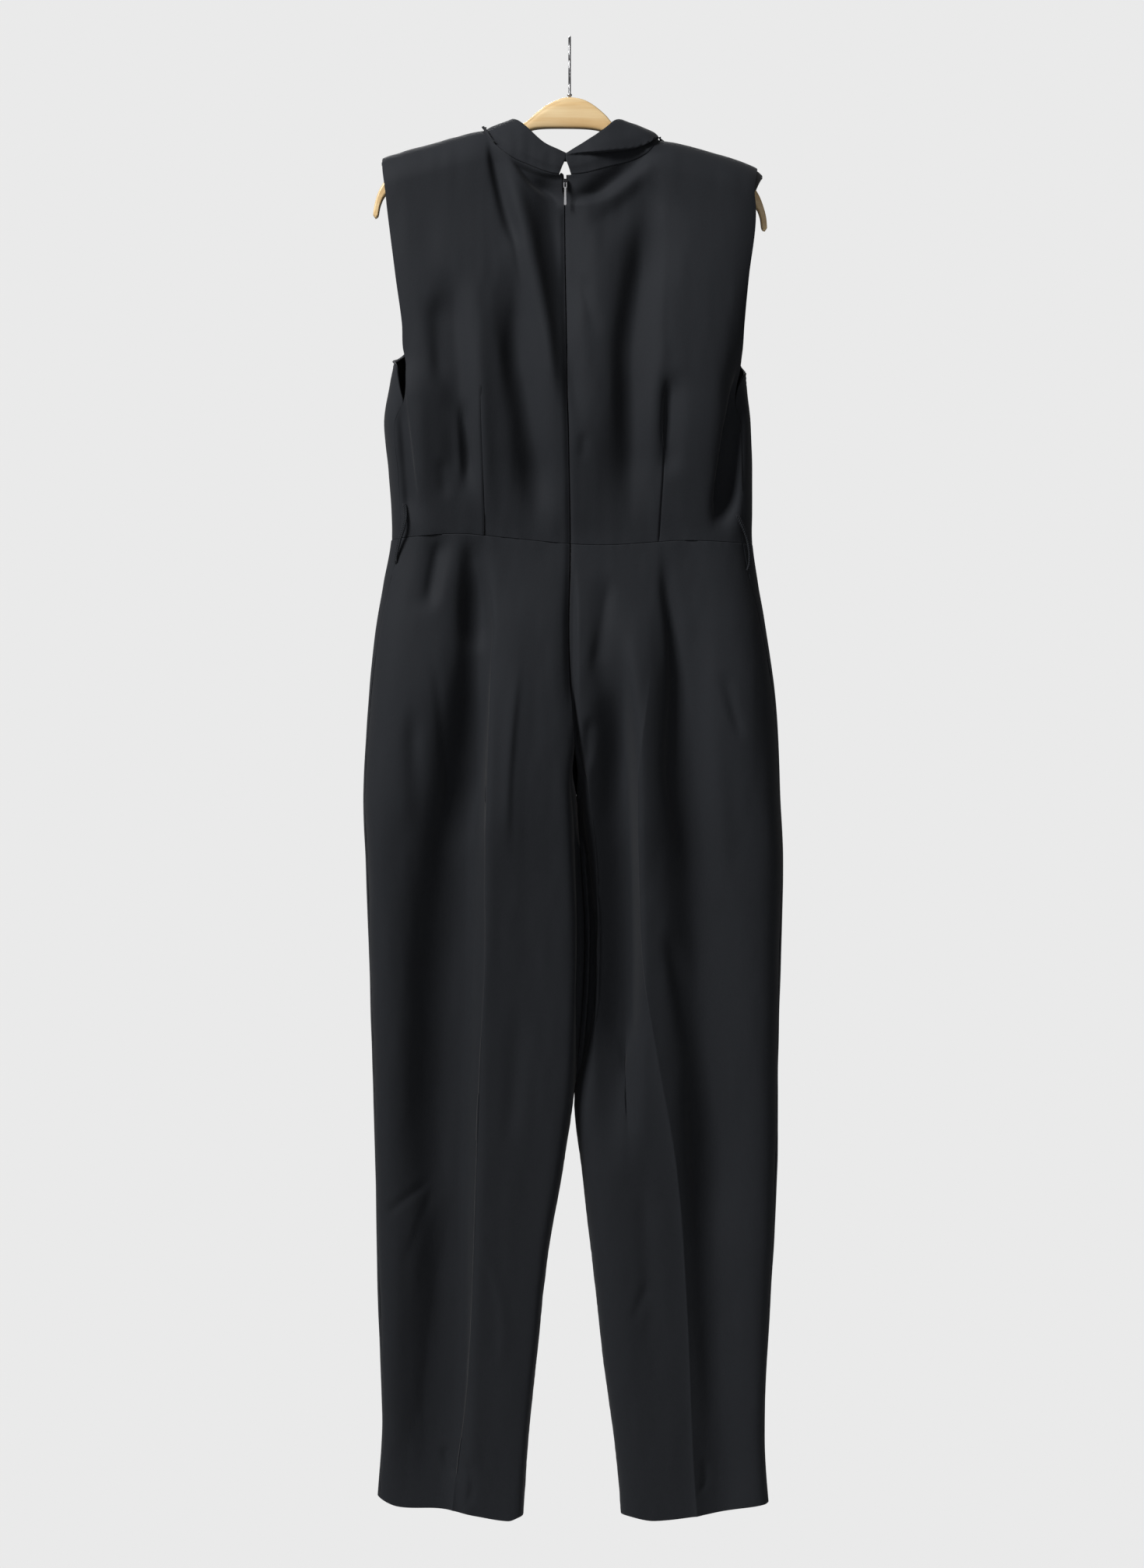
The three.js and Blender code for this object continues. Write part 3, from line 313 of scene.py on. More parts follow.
frontCreases = [
    ("left neck fold", [(-82, -120), (-70, -170), (-52, -230), (-32, -300)], 4, 9, 3),
    ("right neck fold", [(88, -125), (74, -175), (54, -240), (36, -310)], 9, 4, 3),
    ("left second fold", [(-100, -150), (-90, -220), (-66, -300), (-44, -395)], 5, 9, 2.5),
    ("right second fold", [(107, -155), (95, -220), (72, -300), (50, -380)], 9, 5, 2.5),
    ("left bust ridge", [(-92, -240), (-86, -330), (-84, -430), (-88, -500)], 8, 8, -2.5),
    ("right bust ridge", [(100, -250), (95, -340), (92, -430), (90, -505)], 8, 8, -2.5),
    ("left side", [(-146, -260), (-138, -350), (-132, -450)], 8, 9, 2),
    ("right side", [(152, -270), (146, -360), (136, -460)], 9, 8, 2.4),
    ("middle slack", [(-12, -260), (-5, -330), (2, -420)], 8, 8, 1.6),
    ("left pleat", [(-92, -526), (-95, -600), (-98, -690)], 3, 9, 3.5),
    ("right pleat", [(95, -529), (98, -600), (101, -700)], 9, 3, 3.5),
    ("left outer pleat", [(-128, -526), (-134, -590), (-140, -650)], 3, 8, 3),
    ("right outer pleat", [(130, -530), (137, -600), (144, -665)], 8, 3, 3),
    ("left thigh", [(-108, -700), (-120, -800), (-128, -930), (-140, -1080)], 10, 12, 3.5),
    ("right thigh", [(116, -690), (126, -800), (140, -950), (152, -1090)], 12, 10, 3.5),
    ("lap drag left", [(-20, -640), (-38, -700), (-60, -760)], 6, 7, 2.2),
    ("lap drag right", [(28, -640), (46, -705), (66, -770)], 7, 6, 2.2),
    ("left inner leg", [(-24, -880), (-34, -1000), (-48, -1140)], 9, 9, 3),
    ("right inner leg", [(38, -880), (52, -1010), (66, -1150)], 9, 9, 3),
    ("left shin", [(-146, -1160), (-150, -1300), (-158, -1460)], 13, 12, 2.5),
    ("right shin", [(152, -1150), (160, -1300), (168, -1470)], 12, 13, 2.5),
    ("left drag line", [(-190, -1240), (-160, -1215), (-136, -1190)], 5, 6, 1.5),
    ("right crinkle", [(70, -1290), (92, -1330)], 4, 4, 1.2),
]


def smooth(t):
    held = np.clip(t, 0, 1)
    return held * held * (3 - 2 * held)


def read(table, column, at, by="z"):  # a smooth curve through the rows
    order = np.argsort(table[by])
    places, values = table[by][order], table[column][order]
    last = len(places) - 1
    up = np.minimum(np.arange(last + 1) + 1, last)
    down = np.maximum(np.arange(last + 1) - 1, 0)
    slopes = (values[up] - values[down]) / (places[up] - places[down])
    at = np.clip(at, places[0], places[-1])
    k = np.clip(np.searchsorted(places, at) - 1, 0, last - 1)
    span = places[k + 1] - places[k]
    t = (at - places[k]) / span
    return (
        (2 * t**3 - 3 * t**2 + 1) * values[k]
        + (t**3 - 2 * t**2 + t) * span * slopes[k]
        + (3 * t**2 - 2 * t**3) * values[k + 1]
        + (t**3 - t**2) * span * slopes[k + 1]
    )


def softNoise(x, z, wide, tall, seed):  # rolling values from -1 to 1, the same each run
    heights = np.random.default_rng(seed).uniform(-1, 1, (64, 64))
    a, b = x / wide, z / tall
    i, j = np.floor(a).astype(int), np.floor(b).astype(int)
    s, t = smooth(a - i), smooth(b - j)
    upper = heights[i % 64, j % 64] * (1 - s) + heights[(i + 1) % 64, j % 64] * s
    lower = heights[i % 64, (j + 1) % 64] * (1 - s) + heights[(i + 1) % 64, (j + 1) % 64] * s
    return upper * (1 - t) + lower * t


def foldDepth(folds, x, z):
    depth = np.zeros(np.broadcast(x, z).shape)
    for name, x0, z0, x1, z1, bow, left, right, deep in folds:
        t = np.clip((z0 - z) / (z0 - z1), 0, 1)
        away = x - (x0 + (x1 - x0) * t + bow * 4 * t * (1 - t))
        width = np.where(away < 0, left, right)
        depth += deep * smooth(t / 0.25) * smooth((1 - t) / 0.25) * np.exp(-((away / width) ** 2))
    return depth


def legShare(z):
    t = np.clip((cut["crotch"] + cut["crotchBlend"] - z) / cut["crotchBlend"], 0, 1)
    return smooth(t**1.4)


# The cloth's outer surface. across runs from 0 at the side's outermost line to 1 at the centre.
def skin(side, face, across, z):
    across, z = np.broadcast_arrays(np.asarray(across, float), np.asarray(z, float))
    onBack = (across >= 0) if face == "back" else (across < 0)
    share = np.minimum(1, np.abs(across))
    half = np.where(z > cut["legsPart"], cut["seamGap"] / 2, 0) * (-1 if side == "left" else 1)
    outer, inner = read(girth, side, z), read(centre, side, z) + half
    depth = np.where(onBack, read(girth, "back", z), read(girth, "front", z))
    leg, power = legShare(z), np.where(onBack, cut["backFullness"], cut["fullness"])
    seat = np.sqrt(np.maximum(0, 1 - (1 - share) ** power))
    inward = 2 * share - 1
    fuller = np.where((inward > 0) & onBack, cut["innerFullness"][side], power)
    tube = np.sqrt(np.maximum(0, 1 - np.abs(inward) ** fuller))
    roundness = (1 - leg) * seat + leg * tube
    x = outer + (inner - outer) * share
    rise = np.clip((read(shoulder, "z", x, "x") - z) / cut["crown"], 0, 1)
    crown = np.sqrt(1 - (1 - rise) ** 2)
    y = depth * roundness
    y = y - np.where(onBack, foldDepth(backFolds, x, z), foldDepth(frontFolds, x, z)) * roundness
    pressing = smooth((crease["top"] - z) / (crease["top"] - crease["full"]))
    away = x - read(pressed, side, z)
    fall = np.abs(away) / np.where(away < 0, crease["left"], crease["right"])
    y = y + pressing * crease["height"] * np.exp(-fall) * roundness
    return np.stack([x, np.where(onBack, -1, 1) * (y * crown + cut["seamGap"] / 2), z], -1)


def acrossAt(side, z, x):
    outer = read(girth, side, z)
    return (x - outer) / (read(centre, side, z) - outer)


def acrossIn(side, z, distance):
    return distance / np.abs(read(centre, side, z) - read(girth, side, z))


# From a panel's outer edge (u = 0) over its dart or pressed line to the centre (u = 1); where the edge
# has turned to the other face, the first columns go round the side
def columnAcross(u, edge, line, leg, lineAt, bunch):
    wrapAt = cut["wrapColumns"] * np.clip(-edge / cut["wrapOver"], 0, 1)
    start = np.maximum(edge, 0)
    beside = np.clip((u - wrapAt) / (lineAt - wrapAt), 0, 1)
    past = np.clip((u - lineAt) / (1 - lineAt), 0, 1)
    outer = start + (line - start) * (1 - np.cos(beside * math.pi / 2))
    inner = line + (1 - line) * ((1 - leg) * past**bunch + leg * np.sin(past * math.pi / 2))
    turned = edge * (1 - u / np.maximum(wrapAt, 1e-9)) ** 2
    return np.where(u < wrapAt, turned, np.where(u <= lineAt, outer, inner))


def bodiceEdge(side, face, z):
    shift = read(seamShift, side, z) + (1 if face == "back" else -1) * cut["seamGap"] / 2
    seam = (1 if face == "back" else -1) * acrossIn(side, z, shift)
    opening = read(armhole, face + side.capitalize(), z) + cut["seamGap"] / 2
    return np.where(z < cut["underarm"], seam, acrossIn(side, z, opening))


# Half the opening between the back edges, which part round the zip's slider
backOpening = rows(
    "z half",
    (-126, 0.2), (-133.5, 0.2), (-146, 8.3), (-148.5, 8), (-152, 3), (-166, 2.9), (-173, 0.5), (-900, 0.6),
)


def bodicePoint(side, face, u, v):
    u, v = np.broadcast_arrays(np.asarray(u, float), np.asarray(v, float))

    def at(z):
        line = acrossAt(side, z, read(pressed, side, z))
        return columnAcross(u, bodiceEdge(side, face, z), line, 0, cut["dartAt"], 1.35)

    low, high = np.full(u.shape, float(cut["waist"])), np.full(u.shape, -80.0)
    neck = backNeck if face == "back" else frontNeck
    for k in range(30):
        middle = (low + high) / 2
        x = skin(side, face, at(middle), middle)[..., 0]
        inShoulder = np.abs(x) >= cut["neck" + side.capitalize()]
        edge = np.where(inShoulder, read(shoulder, "z", x, "x"), read(neck, "z", x, "x"))
        low, high = np.where(middle < edge, middle, low), np.where(middle < edge, high, middle)
    waist = np.full(u.shape, float(cut["waist"]))
    bottom = read(waistSeam, "z", skin(side, face, at(waist), waist)[..., 0], "x") + cut["seamGap"] / 2
    z = bottom + (low - bottom) * np.sin(v * math.pi / 2)
    point = skin(side, face, at(z), z)
    if face == "back":
        t = np.clip((u - cut["dartAt"]) / (1 - cut["dartAt"]), 0, 1)
        order = np.argsort(backOpening["z"])
        half = np.interp(z, backOpening["z"][order], backOpening["half"][order])
        point[..., 0] += (-1 if side == "left" else 1) * (half - cut["seamGap"] / 2) * t**6
    return point


def trouserPoint(side, face, u, v):
    u, v = np.broadcast_arrays(np.asarray(u, float), np.asarray(v, float))
    crotchRow = 0.36

    def at(z):
        shift = read(seamShift, side, z) + (1 if face == "back" else -1) * cut["seamGap"] / 2
        edge = (1 if face == "back" else -1) * acrossIn(side, z, shift)
        line = acrossAt(side, z, read(pressed, side, z))
        return columnAcross(u, edge, line, legShare(z), 0.5, 1)

    waist, low = np.full(u.shape, float(cut["waist"])), np.full(u.shape, -1550.0)
    top = read(waistSeam, "z", skin(side, face, at(waist), waist)[..., 0], "x") - cut["seamGap"] / 2
    bottom = read(hem, "z", skin(side, face, at(low), low)[..., 0], "x")
    above = top + (cut["crotch"] - top) * (1 - np.clip(1 - v / crotchRow, 0, 1) ** 1.25)
    below = cut["crotch"] + (bottom - cut["crotch"]) * np.clip((v - crotchRow) / (1 - crotchRow), 0, 1)
    z = np.where(v <= crotchRow, above, below)
    return skin(side, face, at(z), z)


# Cloth shells
cloth = {
    "thickness": 0.9,
    "seamDip": 0.22,
    "seamWidth": 1.6,
    "seamRoll": ((0, 0.3), (0.2, 1.2), (1, 3), (1, 5)),  # beyond the edge, and inwards
    "hemRoll": ((0.45, 0.45), (0.5, 1.4)),
    "hemRows": {"edge": (1, 3, 6), "hem": (1, 4, 8)},
    "hemUnder": 2.4,
    "rumple": 0.55,
    "pucker": 0.22,
    "underBand": 0.15,  # how much of a crease's depth is left at the neckband's seam
    "bandFade": 7,
    "legSeamFade": 9,
    "legSeamsFrom": -760,
    "besideZip": 16,
    "zipEnd": -800,
}


def ringed(line, steps=24):  # a smooth curve through given points
    points = np.array(line, float)
    last = len(points) - 1
    t = np.linspace(0, last, steps)
    k = np.clip(t.astype(int), 0, last - 1)
    s = (t - k)[:, None]
    before, after = points[np.maximum(k - 1, 0)], points[np.minimum(k + 2, last)]
    a, b = points[k], points[k + 1]
    bend, turn = 2 * before - 5 * a + 4 * b - after, 3 * a - before - 3 * b + after
    return 0.5 * (2 * a + (b - before) * s + bend * s**2 + turn * s**3)


def creaseDepth(creases, x, z, shift):
    depth = np.zeros(x.shape)
    for number, (name, line, left, right, deep) in enumerate(creases):
        path = ringed(line)
        path[:, 0] += shift * left
        reach = laid["reach"] * max(left, right)
        near = (
            (x > path[:, 0].min() - reach) & (x < path[:, 0].max() + reach)
            & (z > path[:, 1].min() - reach) & (z < path[:, 1].max() + reach)
        )
        if not near.any():
            continue
        px, pz = x[near], z[near]
        lengths = np.hypot(*np.diff(path, axis=0).T)
        start = np.concatenate([[0], np.cumsum(lengths)])
        best = np.full(px.shape, 1e9)
        along, side = np.zeros(px.shape), np.zeros(px.shape)
        for k, length in enumerate(lengths):
            a, d = path[k], path[k + 1] - path[k]
            t = np.clip(((px - a[0]) * d[0] + (pz - a[1]) * d[1]) / length**2, 0, 1)
            away = np.hypot(px - a[0] - t * d[0], pz - a[1] - t * d[1])
            closer = away < best
            best = np.where(closer, away, best)
            along = np.where(closer, (start[k] + t * length) / start[-1], along)
            side = np.where(closer, d[0] * (pz - a[1]) - d[1] * (px - a[0]), side)
        wider = 1 + laid["widthVaries"] * np.sin(3.3 * along + 2.1 * number)
        width = np.where(side > 0, right, left) * wider
        uneven = 1 + laid["depthVaries"] * np.sin(4.7 * along + 1.7 * number)
        uneven += laid["ripple"] * np.sin(10 * along + number)
        ends = smooth(along / laid["upperFade"]) * smooth((1 - along) / laid["lowerFade"])
        depth[near] += deep * uneven * ends * np.exp(-((best / width) ** 2))
    return depth


def unit(vectors):
    return vectors / np.maximum(np.linalg.norm(vectors, axis=-1, keepdims=True), 1e-9)


def normalsOf(points, facing):
    alongU, alongV = np.gradient(points, axis=1), np.gradient(points, axis=0)
    return unit(np.cross(alongU, alongV) * facing)


def edgeDistance(points, edge):  # how far each point lies in from one edge of its panel
    axis = 1 if edge in ("first", "last") else 0
    steps = np.linalg.norm(np.diff(points, axis=axis), axis=-1)
    zero = np.zeros_like(np.take(steps, [0], axis))
    if edge in ("first", "bottom"):
        return np.concatenate([zero, np.cumsum(steps, axis)], axis)
    return np.flip(np.concatenate([zero, np.cumsum(np.flip(steps, axis), axis)], axis), axis)


def dressed(points, facing, seams, seed):  # lays creases, sewn-in edges and slight rumples on a panel
    normals = normalsOf(points, facing)
    x, y, z = points[..., 0], points[..., 1], points[..., 2]
    onBack = y < 0
    depth = np.where(onBack, creaseDepth(backCreases, x, z, shadeShift), creaseDepth(frontCreases, x, z, 0))
    depth = depth * np.clip(np.abs(y) / 12, 0, 1)
    if "last" in seams and "first" not in seams:
        kept = cloth["underBand"]
        depth = depth * (kept + (1 - kept) * smooth(edgeDistance(points, "top") / cloth["bandFade"]))
    for edge in seams:
        if edge != "bottom":
            fading = 1 - smooth(0.15 + edgeDistance(points, edge) / cloth["legSeamFade"])
            depth = depth * (1 - fading * smooth((cloth["legSeamsFrom"] - z) / 40))
    if "last" in seams:
        beside = np.exp(-((edgeDistance(points, "last") / cloth["besideZip"]) ** 2))
        straight = beside * onBack * smooth((z - cloth["zipEnd"]) / 60)
        outward = np.array([0, -1, 0])
        normals = normals + (outward - normals) * straight[..., None]
    depth += cloth["rumple"] * (softNoise(x, z, 21, 74, seed) + 0.5 * softNoise(x, z, 9, 31, seed + 1))
    for edge in seams:
        away = edgeDistance(points, edge)
        run = z if edge in ("first", "last") else x
        depth += cloth["seamDip"] * np.exp(-((away / cloth["seamWidth"]) ** 2))
        depth += cloth["pucker"] * softNoise(run, away, 4.5, 9, seed + 7) * np.exp(-away / 5)
    return points - normals * depth[..., None]


def turnedIn(points, facing, edges):  # adds the cloth that goes inside at seams, openings and hems
    normals = normalsOf(points, facing)
    for edge, kind in edges.items():
        axis = 1 if edge in ("first", "last") else 0
        order = 1 if edge in ("first", "bottom") else -1
        places = points if order == 1 else np.flip(points, axis)
        square = normals if order == 1 else np.flip(normals, axis)
        rim, inward = np.take(places, 0, axis), np.take(square, 0, axis)
        out = unit(rim - np.take(places, 1, axis))
        roll = cloth["seamRoll"] if kind == "seam" else cloth["hemRoll"]
        rings = [rim + out * beyond - inward * under for beyond, under in roll]
        for k in cloth["hemRows"].get(kind, ()):
            rings.append(np.take(places, k, axis) - np.take(square, k, axis) * cloth["hemUnder"])
        extra = np.stack(rings[::-1], axis)
        extraNormals = np.stack([inward] * len(rings), axis)
        places = np.concatenate([extra, places], axis)
        square = np.concatenate([extraNormals, square], axis)
        points = places if order == 1 else np.flip(places, axis)
        normals = square if order == 1 else np.flip(square, axis)
    return points


def sewnPanel(name, points, facing, edges):
    return gridMesh(name, turnedIn(points, facing, edges), facing, materials["crepe"], cloth["thickness"])


def gridMesh(name, points, facing, material, thickness=0):
    tall, wide = points.shape[:2]
    corners = np.arange(tall * wide).reshape(tall, wide)
    around = [corners[:-1, :-1], corners[:-1, 1:], corners[1:, 1:], corners[1:, :-1]]
    faces = np.stack(around if facing > 0 else around[::-1], -1).reshape(-1, 4)
    return meshObject(name, points.reshape(-1, 3), faces.tolist(), material, thickness)


def meshObject(name, points, faces, material, thickness=0):
    mesh = bpy.data.meshes.new(name)
    mesh.from_pydata((np.asarray(points) * mm).tolist(), [], faces)
    mesh.polygons.foreach_set("use_smooth", [True] * len(mesh.polygons))
    mesh.materials.append(material)
    made = bpy.data.objects.new(name, mesh)
    bpy.context.scene.collection.objects.link(made)
    if thickness:
        shell = made.modifiers.new("cloth thickness", "SOLIDIFY")
        shell.thickness, shell.offset = thickness * mm, -1
        shell.use_even_offset = False
    return made


def ringFaces(rings, sides, start=0):
    faces = []
    for k in range(rings - 1):
        for s in range(sides):
            a, b = start + k * sides + s, start + k * sides + (s + 1) % sides
            faces.append((a, b, b + sides, a + sides))
    return faces


def endCaps(rings, sides):
    return [tuple(range(sides))[::-1], tuple((rings - 1) * sides + s for s in range(sides))]


def roundPoints(radius, z, sides):
    angles = [2 * math.pi * s / sides for s in range(sides)]
    return [(radius * math.cos(a), radius * math.sin(a), z) for a in angles]


def standIn(piece, node):  # the piece takes the place of a node of the model
    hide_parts(node)
    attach(piece, body)
    return piece


# Node helpers
def nodeGroup(name, inputs, outputs):
    group = bpy.data.node_groups.new(name, "ShaderNodeTree")
    for label, value in inputs:
        socket = group.interface.new_socket(name=label, in_out="INPUT", socket_type="NodeSocketFloat")
        socket.default_value = value
    for label in outputs:
        group.interface.new_socket(name=label, in_out="OUTPUT", socket_type="NodeSocketFloat")
    return group, group.nodes.new("NodeGroupInput"), group.nodes.new("NodeGroupOutput")


def mathNode(tree, operation, a, b):
    node = tree.nodes.new("ShaderNodeMath")
    node.operation = operation
    for socket, value in zip(node.inputs, (a, b)):
        if isinstance(value, (int, float)):
            socket.default_value = value
        else:
            tree.links.new(value, socket)
    return node.outputs[0]


def stretchedNoise(tree, scale, detail, stretch):  # noise in object space, drawn out by its stretch
    place = tree.nodes.new("ShaderNodeTexCoord")
    mapping = tree.nodes.new("ShaderNodeMapping")
    mapping.inputs["Scale"].default_value = stretch
    texture = tree.nodes.new("ShaderNodeTexNoise")
    texture.inputs["Detail"].default_value = detail
    tree.links.new(place.outputs["Object"], mapping.inputs["Vector"])
    tree.links.new(mapping.outputs["Vector"], texture.inputs["Vector"])
    if isinstance(scale, (int, float)):
        texture.inputs["Scale"].default_value = scale
    else:
        tree.links.new(scale, texture.inputs["Scale"])
    return texture.outputs["Fac"]


# Fine pebbled face of a crepe, a lining or a tape
def makePebbleGroup():
    group, given, result = nodeGroup("pebbledYarn", [("Scale", 900), ("Streak", 0.35)], ["Height", "Tone"])
    fine = stretchedNoise(group, given.outputs["Scale"], 3, (1, 1, 0.55))
    half = mathNode(group, "MULTIPLY", given.outputs["Scale"], 0.32)
    clump = stretchedNoise(group, half, 2, (1, 1, 0.4))
    streaked = mathNode(group, "MULTIPLY", clump, given.outputs["Streak"])
    group.links.new(mathNode(group, "ADD", fine, streaked), result.inputs["Height"])
    group.links.new(fine, result.inputs["Tone"])
    return group


# Slow changes over a surface: handling, light fading, polish
def makeHandlingGroup():
    group, given, result = nodeGroup("handling", [("Scale", 14), ("Contrast", 1.6)], ["Mask"])
    cloud = stretchedNoise(group, given.outputs["Scale"], 4, (1, 1, 0.45))
    centred = mathNode(group, "SUBTRACT", cloud, 0.5)
    raised = mathNode(group, "ADD", mathNode(group, "MULTIPLY", centred, given.outputs["Contrast"]), 0.5)
    clamp = group.nodes.new("ShaderNodeClamp")
    group.links.new(raised, clamp.inputs["Value"])
    group.links.new(clamp.outputs[0], result.inputs["Mask"])
    return group


pebbleGroup, handlingGroup = makePebbleGroup(), makeHandlingGroup()


def placed(tree, group, **values):
    node = tree.nodes.new("ShaderNodeGroup")
    node.node_tree = group
    for name, value in values.items():
        node.inputs[name].default_value = value
    return node


def newMaterial(name, roughness, metallic=0.0):
    material = bpy.data.materials.new(name)
    material.use_nodes = True
    tree = material.node_tree
    shader = tree.nodes["Principled BSDF"]
    shader.inputs["Roughness"].default_value = roughness
    shader.inputs["Metallic"].default_value = metallic
    return material, tree, shader


def paint(tree, shader, mask, dark, light, span=(0, 1)):  # base colour between two shades by a mask
    ramp = tree.nodes.new("ShaderNodeValToRGB")
    for element, colour, position in zip(ramp.color_ramp.elements, (dark, light), span):
        element.color, element.position = (*colour, 1), position
    tree.links.new(mask, ramp.inputs["Fac"])
    tree.links.new(ramp.outputs["Color"], shader.inputs["Base Color"])


def mixed(tree, *parts):  # a sum of masks, each with its share
    total = 0
    for mask, share in parts:
        weighed = mathNode(tree, "MULTIPLY", mask, share)
        total = weighed if total == 0 else mathNode(tree, "ADD", total, weighed)
    return total


def rangeOf(tree, mask, low, high):
    spread = tree.nodes.new("ShaderNodeMapRange")
    spread.inputs["To Min"].default_value = low
    spread.inputs["To Max"].default_value = high
    tree.links.new(mask, spread.inputs["Value"])
    return spread.outputs["Result"]


def addBump(tree, shader, height, strength, distance):
    bump = tree.nodes.new("ShaderNodeBump")
    bump.inputs["Strength"].default_value = strength
    bump.inputs["Distance"].default_value = distance
    tree.links.new(height, bump.inputs["Height"])
    tree.links.new(bump.outputs["Normal"], shader.inputs["Normal"])


crepe = {
    "dark": (0.0130, 0.0145, 0.0178),
    "light": (0.0195, 0.0215, 0.0258),
    "roughness": (0.72, 0.86),
    "specular": 0.18,
    "sheen": 0.06,
    "sheenRoughness": 0.45,
    "yarnScale": 950,
    "bump": 0.35,
}


def makeCrepe():
    material, tree, shader = newMaterial("charcoalCrepe", 0.8)
    yarn = placed(tree, pebbleGroup, Scale=crepe["yarnScale"], Streak=0.45)
    handled = placed(tree, handlingGroup, Scale=9, Contrast=1.5)
    both = mixed(tree, (yarn.outputs["Tone"], 0.55), (handled.outputs["Mask"], 0.45))
    paint(tree, shader, both, crepe["dark"], crepe["light"])
    tree.links.new(rangeOf(tree, handled.outputs["Mask"], *crepe["roughness"]), shader.inputs["Roughness"])
    shader.inputs["Specular IOR Level"].default_value = crepe["specular"]
    shader.inputs["Sheen Weight"].default_value = crepe["sheen"]
    shader.inputs["Sheen Roughness"].default_value = crepe["sheenRoughness"]
    addBump(tree, shader, yarn.outputs["Height"], crepe["bump"], 0.0003)
    return material


def makePadCover():
    material, tree, shader = newMaterial("padCover", 0.92)
    yarn = placed(tree, pebbleGroup, Scale=620, Streak=0.8)
    paint(tree, shader, yarn.outputs["Tone"], (0.011, 0.0115, 0.013), (0.026, 0.027, 0.03))
    shader.inputs["Sheen Weight"].default_value = 0.3
    addBump(tree, shader, yarn.outputs["Height"], 0.5, 0.0005)
    return material


def makeZipTape():
    material, tree, shader = newMaterial("zipTape", 0.78)
    place = tree.nodes.new("ShaderNodeTexCoord")
    wave = tree.nodes.new("ShaderNodeTexWave")
    wave.bands_direction = "DIAGONAL"
    wave.inputs["Scale"].default_value = 420
    wave.inputs["Distortion"].default_value = 1.2
    tree.links.new(place.outputs["Object"], wave.inputs["Vector"])
    yarn = placed(tree, pebbleGroup, Scale=1500, Streak=0.3)
    height = mathNode(tree, "ADD", wave.outputs["Fac"], yarn.outputs["Height"])
    paint(tree, shader, wave.outputs["Fac"], (0.006, 0.006, 0.007), (0.016, 0.016, 0.018))
    addBump(tree, shader, height, 0.5, 0.0003)
    return material


def makeNylon():
    material, tree, shader = newMaterial("nylonCoil", 0.35)
    handled = placed(tree, handlingGroup, Scale=300, Contrast=1)
    paint(tree, shader, handled.outputs["Mask"], (0.006, 0.006, 0.007), (0.02, 0.02, 0.022))
    return material


def makeMetal(name, dark, light, roughness):
    material, tree, shader = newMaterial(name, roughness, 1.0)
    handled = placed(tree, handlingGroup, Scale=160, Contrast=1.8)
    scratch = stretchedNoise(tree, 900, 4, (1, 1, 0.08))
    paint(tree, shader, handled.outputs["Mask"], dark, light)
    worn = mathNode(tree, "MULTIPLY", handled.outputs["Mask"], scratch)
    tree.links.new(rangeOf(tree, worn, roughness - 0.08, roughness + 0.16), shader.inputs["Roughness"])
    addBump(tree, shader, scratch, 0.12, 0.0001)
    return material


birch = {
    "pale": (0.93, 0.71, 0.40),
    "deep": (0.72, 0.44, 0.17),
    "span": (0.3, 0.68),
    "grainScale": 34,
    "coat": 0.35,
}


def makeBirch():
    material, tree, shader = newMaterial("lacqueredBirch", 0.4)
    grain = stretchedNoise(tree, birch["grainScale"], 5, (0.22, 1.4, 3.2))
    pores = stretchedNoise(tree, 420, 3, (0.06, 1, 1))
    handled = placed(tree, handlingGroup, Scale=22, Contrast=1.4)
    figure = mixed(tree, (grain, 0.62), (pores, 0.22), (handled.outputs["Mask"], 0.16))
    paint(tree, shader, figure, birch["deep"], birch["pale"], birch["span"])
    tree.links.new(rangeOf(tree, pores, 0.32, 0.5), shader.inputs["Roughness"])
    shader.inputs["Coat Weight"].default_value = birch["coat"]
    shader.inputs["Coat Roughness"].default_value = 0.25
    addBump(tree, shader, pores, 0.15, 0.0002)
    return material


materials = {
    "crepe": makeCrepe(),
    "padding": makePadCover(),
    "tape": makeZipTape(),
    "nylon": makeNylon(),
    "zipMetal": makeMetal("zipMetal", (0.42, 0.42, 0.43), (0.70, 0.70, 0.72), 0.30),
    "zipEnamel": makeMetal("zipEnamel", (0.02, 0.02, 0.022), (0.07, 0.07, 0.075), 0.3),
    "wire": makeMetal("hookWire", (0.36, 0.36, 0.37), (0.62, 0.62, 0.64), 0.32),
    "wood": makeBirch(),
}
print("materials made:", len(materials))


# Bodice and trousers
panels = {"bodiceAcross": 118, "bodiceDown": 120, "trouserAcross": 104, "trouserDown": 260}


def columnsOf(count, lineAt):  # close together at the dart or pressed line, so that it stays sharp
    even = np.linspace(0, 1, count + 1)
    extra = lineAt + np.array([-0.014, -0.007, -0.0025, 0, 0.0025, 0.007, 0.014])
    return np.unique(np.concatenate([even[np.abs(even - lineAt) > 0.004], extra, [0.0015, 0.998]]))


def rowsOf(count):  # with one more row close to each seam
    return np.unique(np.concatenate([np.linspace(0, 1, count + 1), [0.0008, 0.9992]]))


dart = {"top": -365, "bottom": -534, "stitch": 0.9, "step": 0.8, "stepWidth": 6, "proud": -0.6}


def dartDepth(side, points):  # the stitched line of a dart, with the cloth proud beside it
    x, z = points[..., 0], points[..., 2]
    away = x - read(pressed, side, z)
    along = smooth((dart["top"] - z) / 40) * smooth((z - dart["bottom"]) / 6)
    line = dart["stitch"] * np.exp(-((away / dart["stitch"]) ** 2))
    step = dart["step"] * np.exp(-np.abs(away) / dart["stepWidth"]) * np.where(away > 0, 1, dart["proud"])
    return along * (line + step)


lap = {"top": -178, "bottom": -720, "left": 2.2, "leftWidth": 3.4, "right": 1.2, "rightWidth": 3}


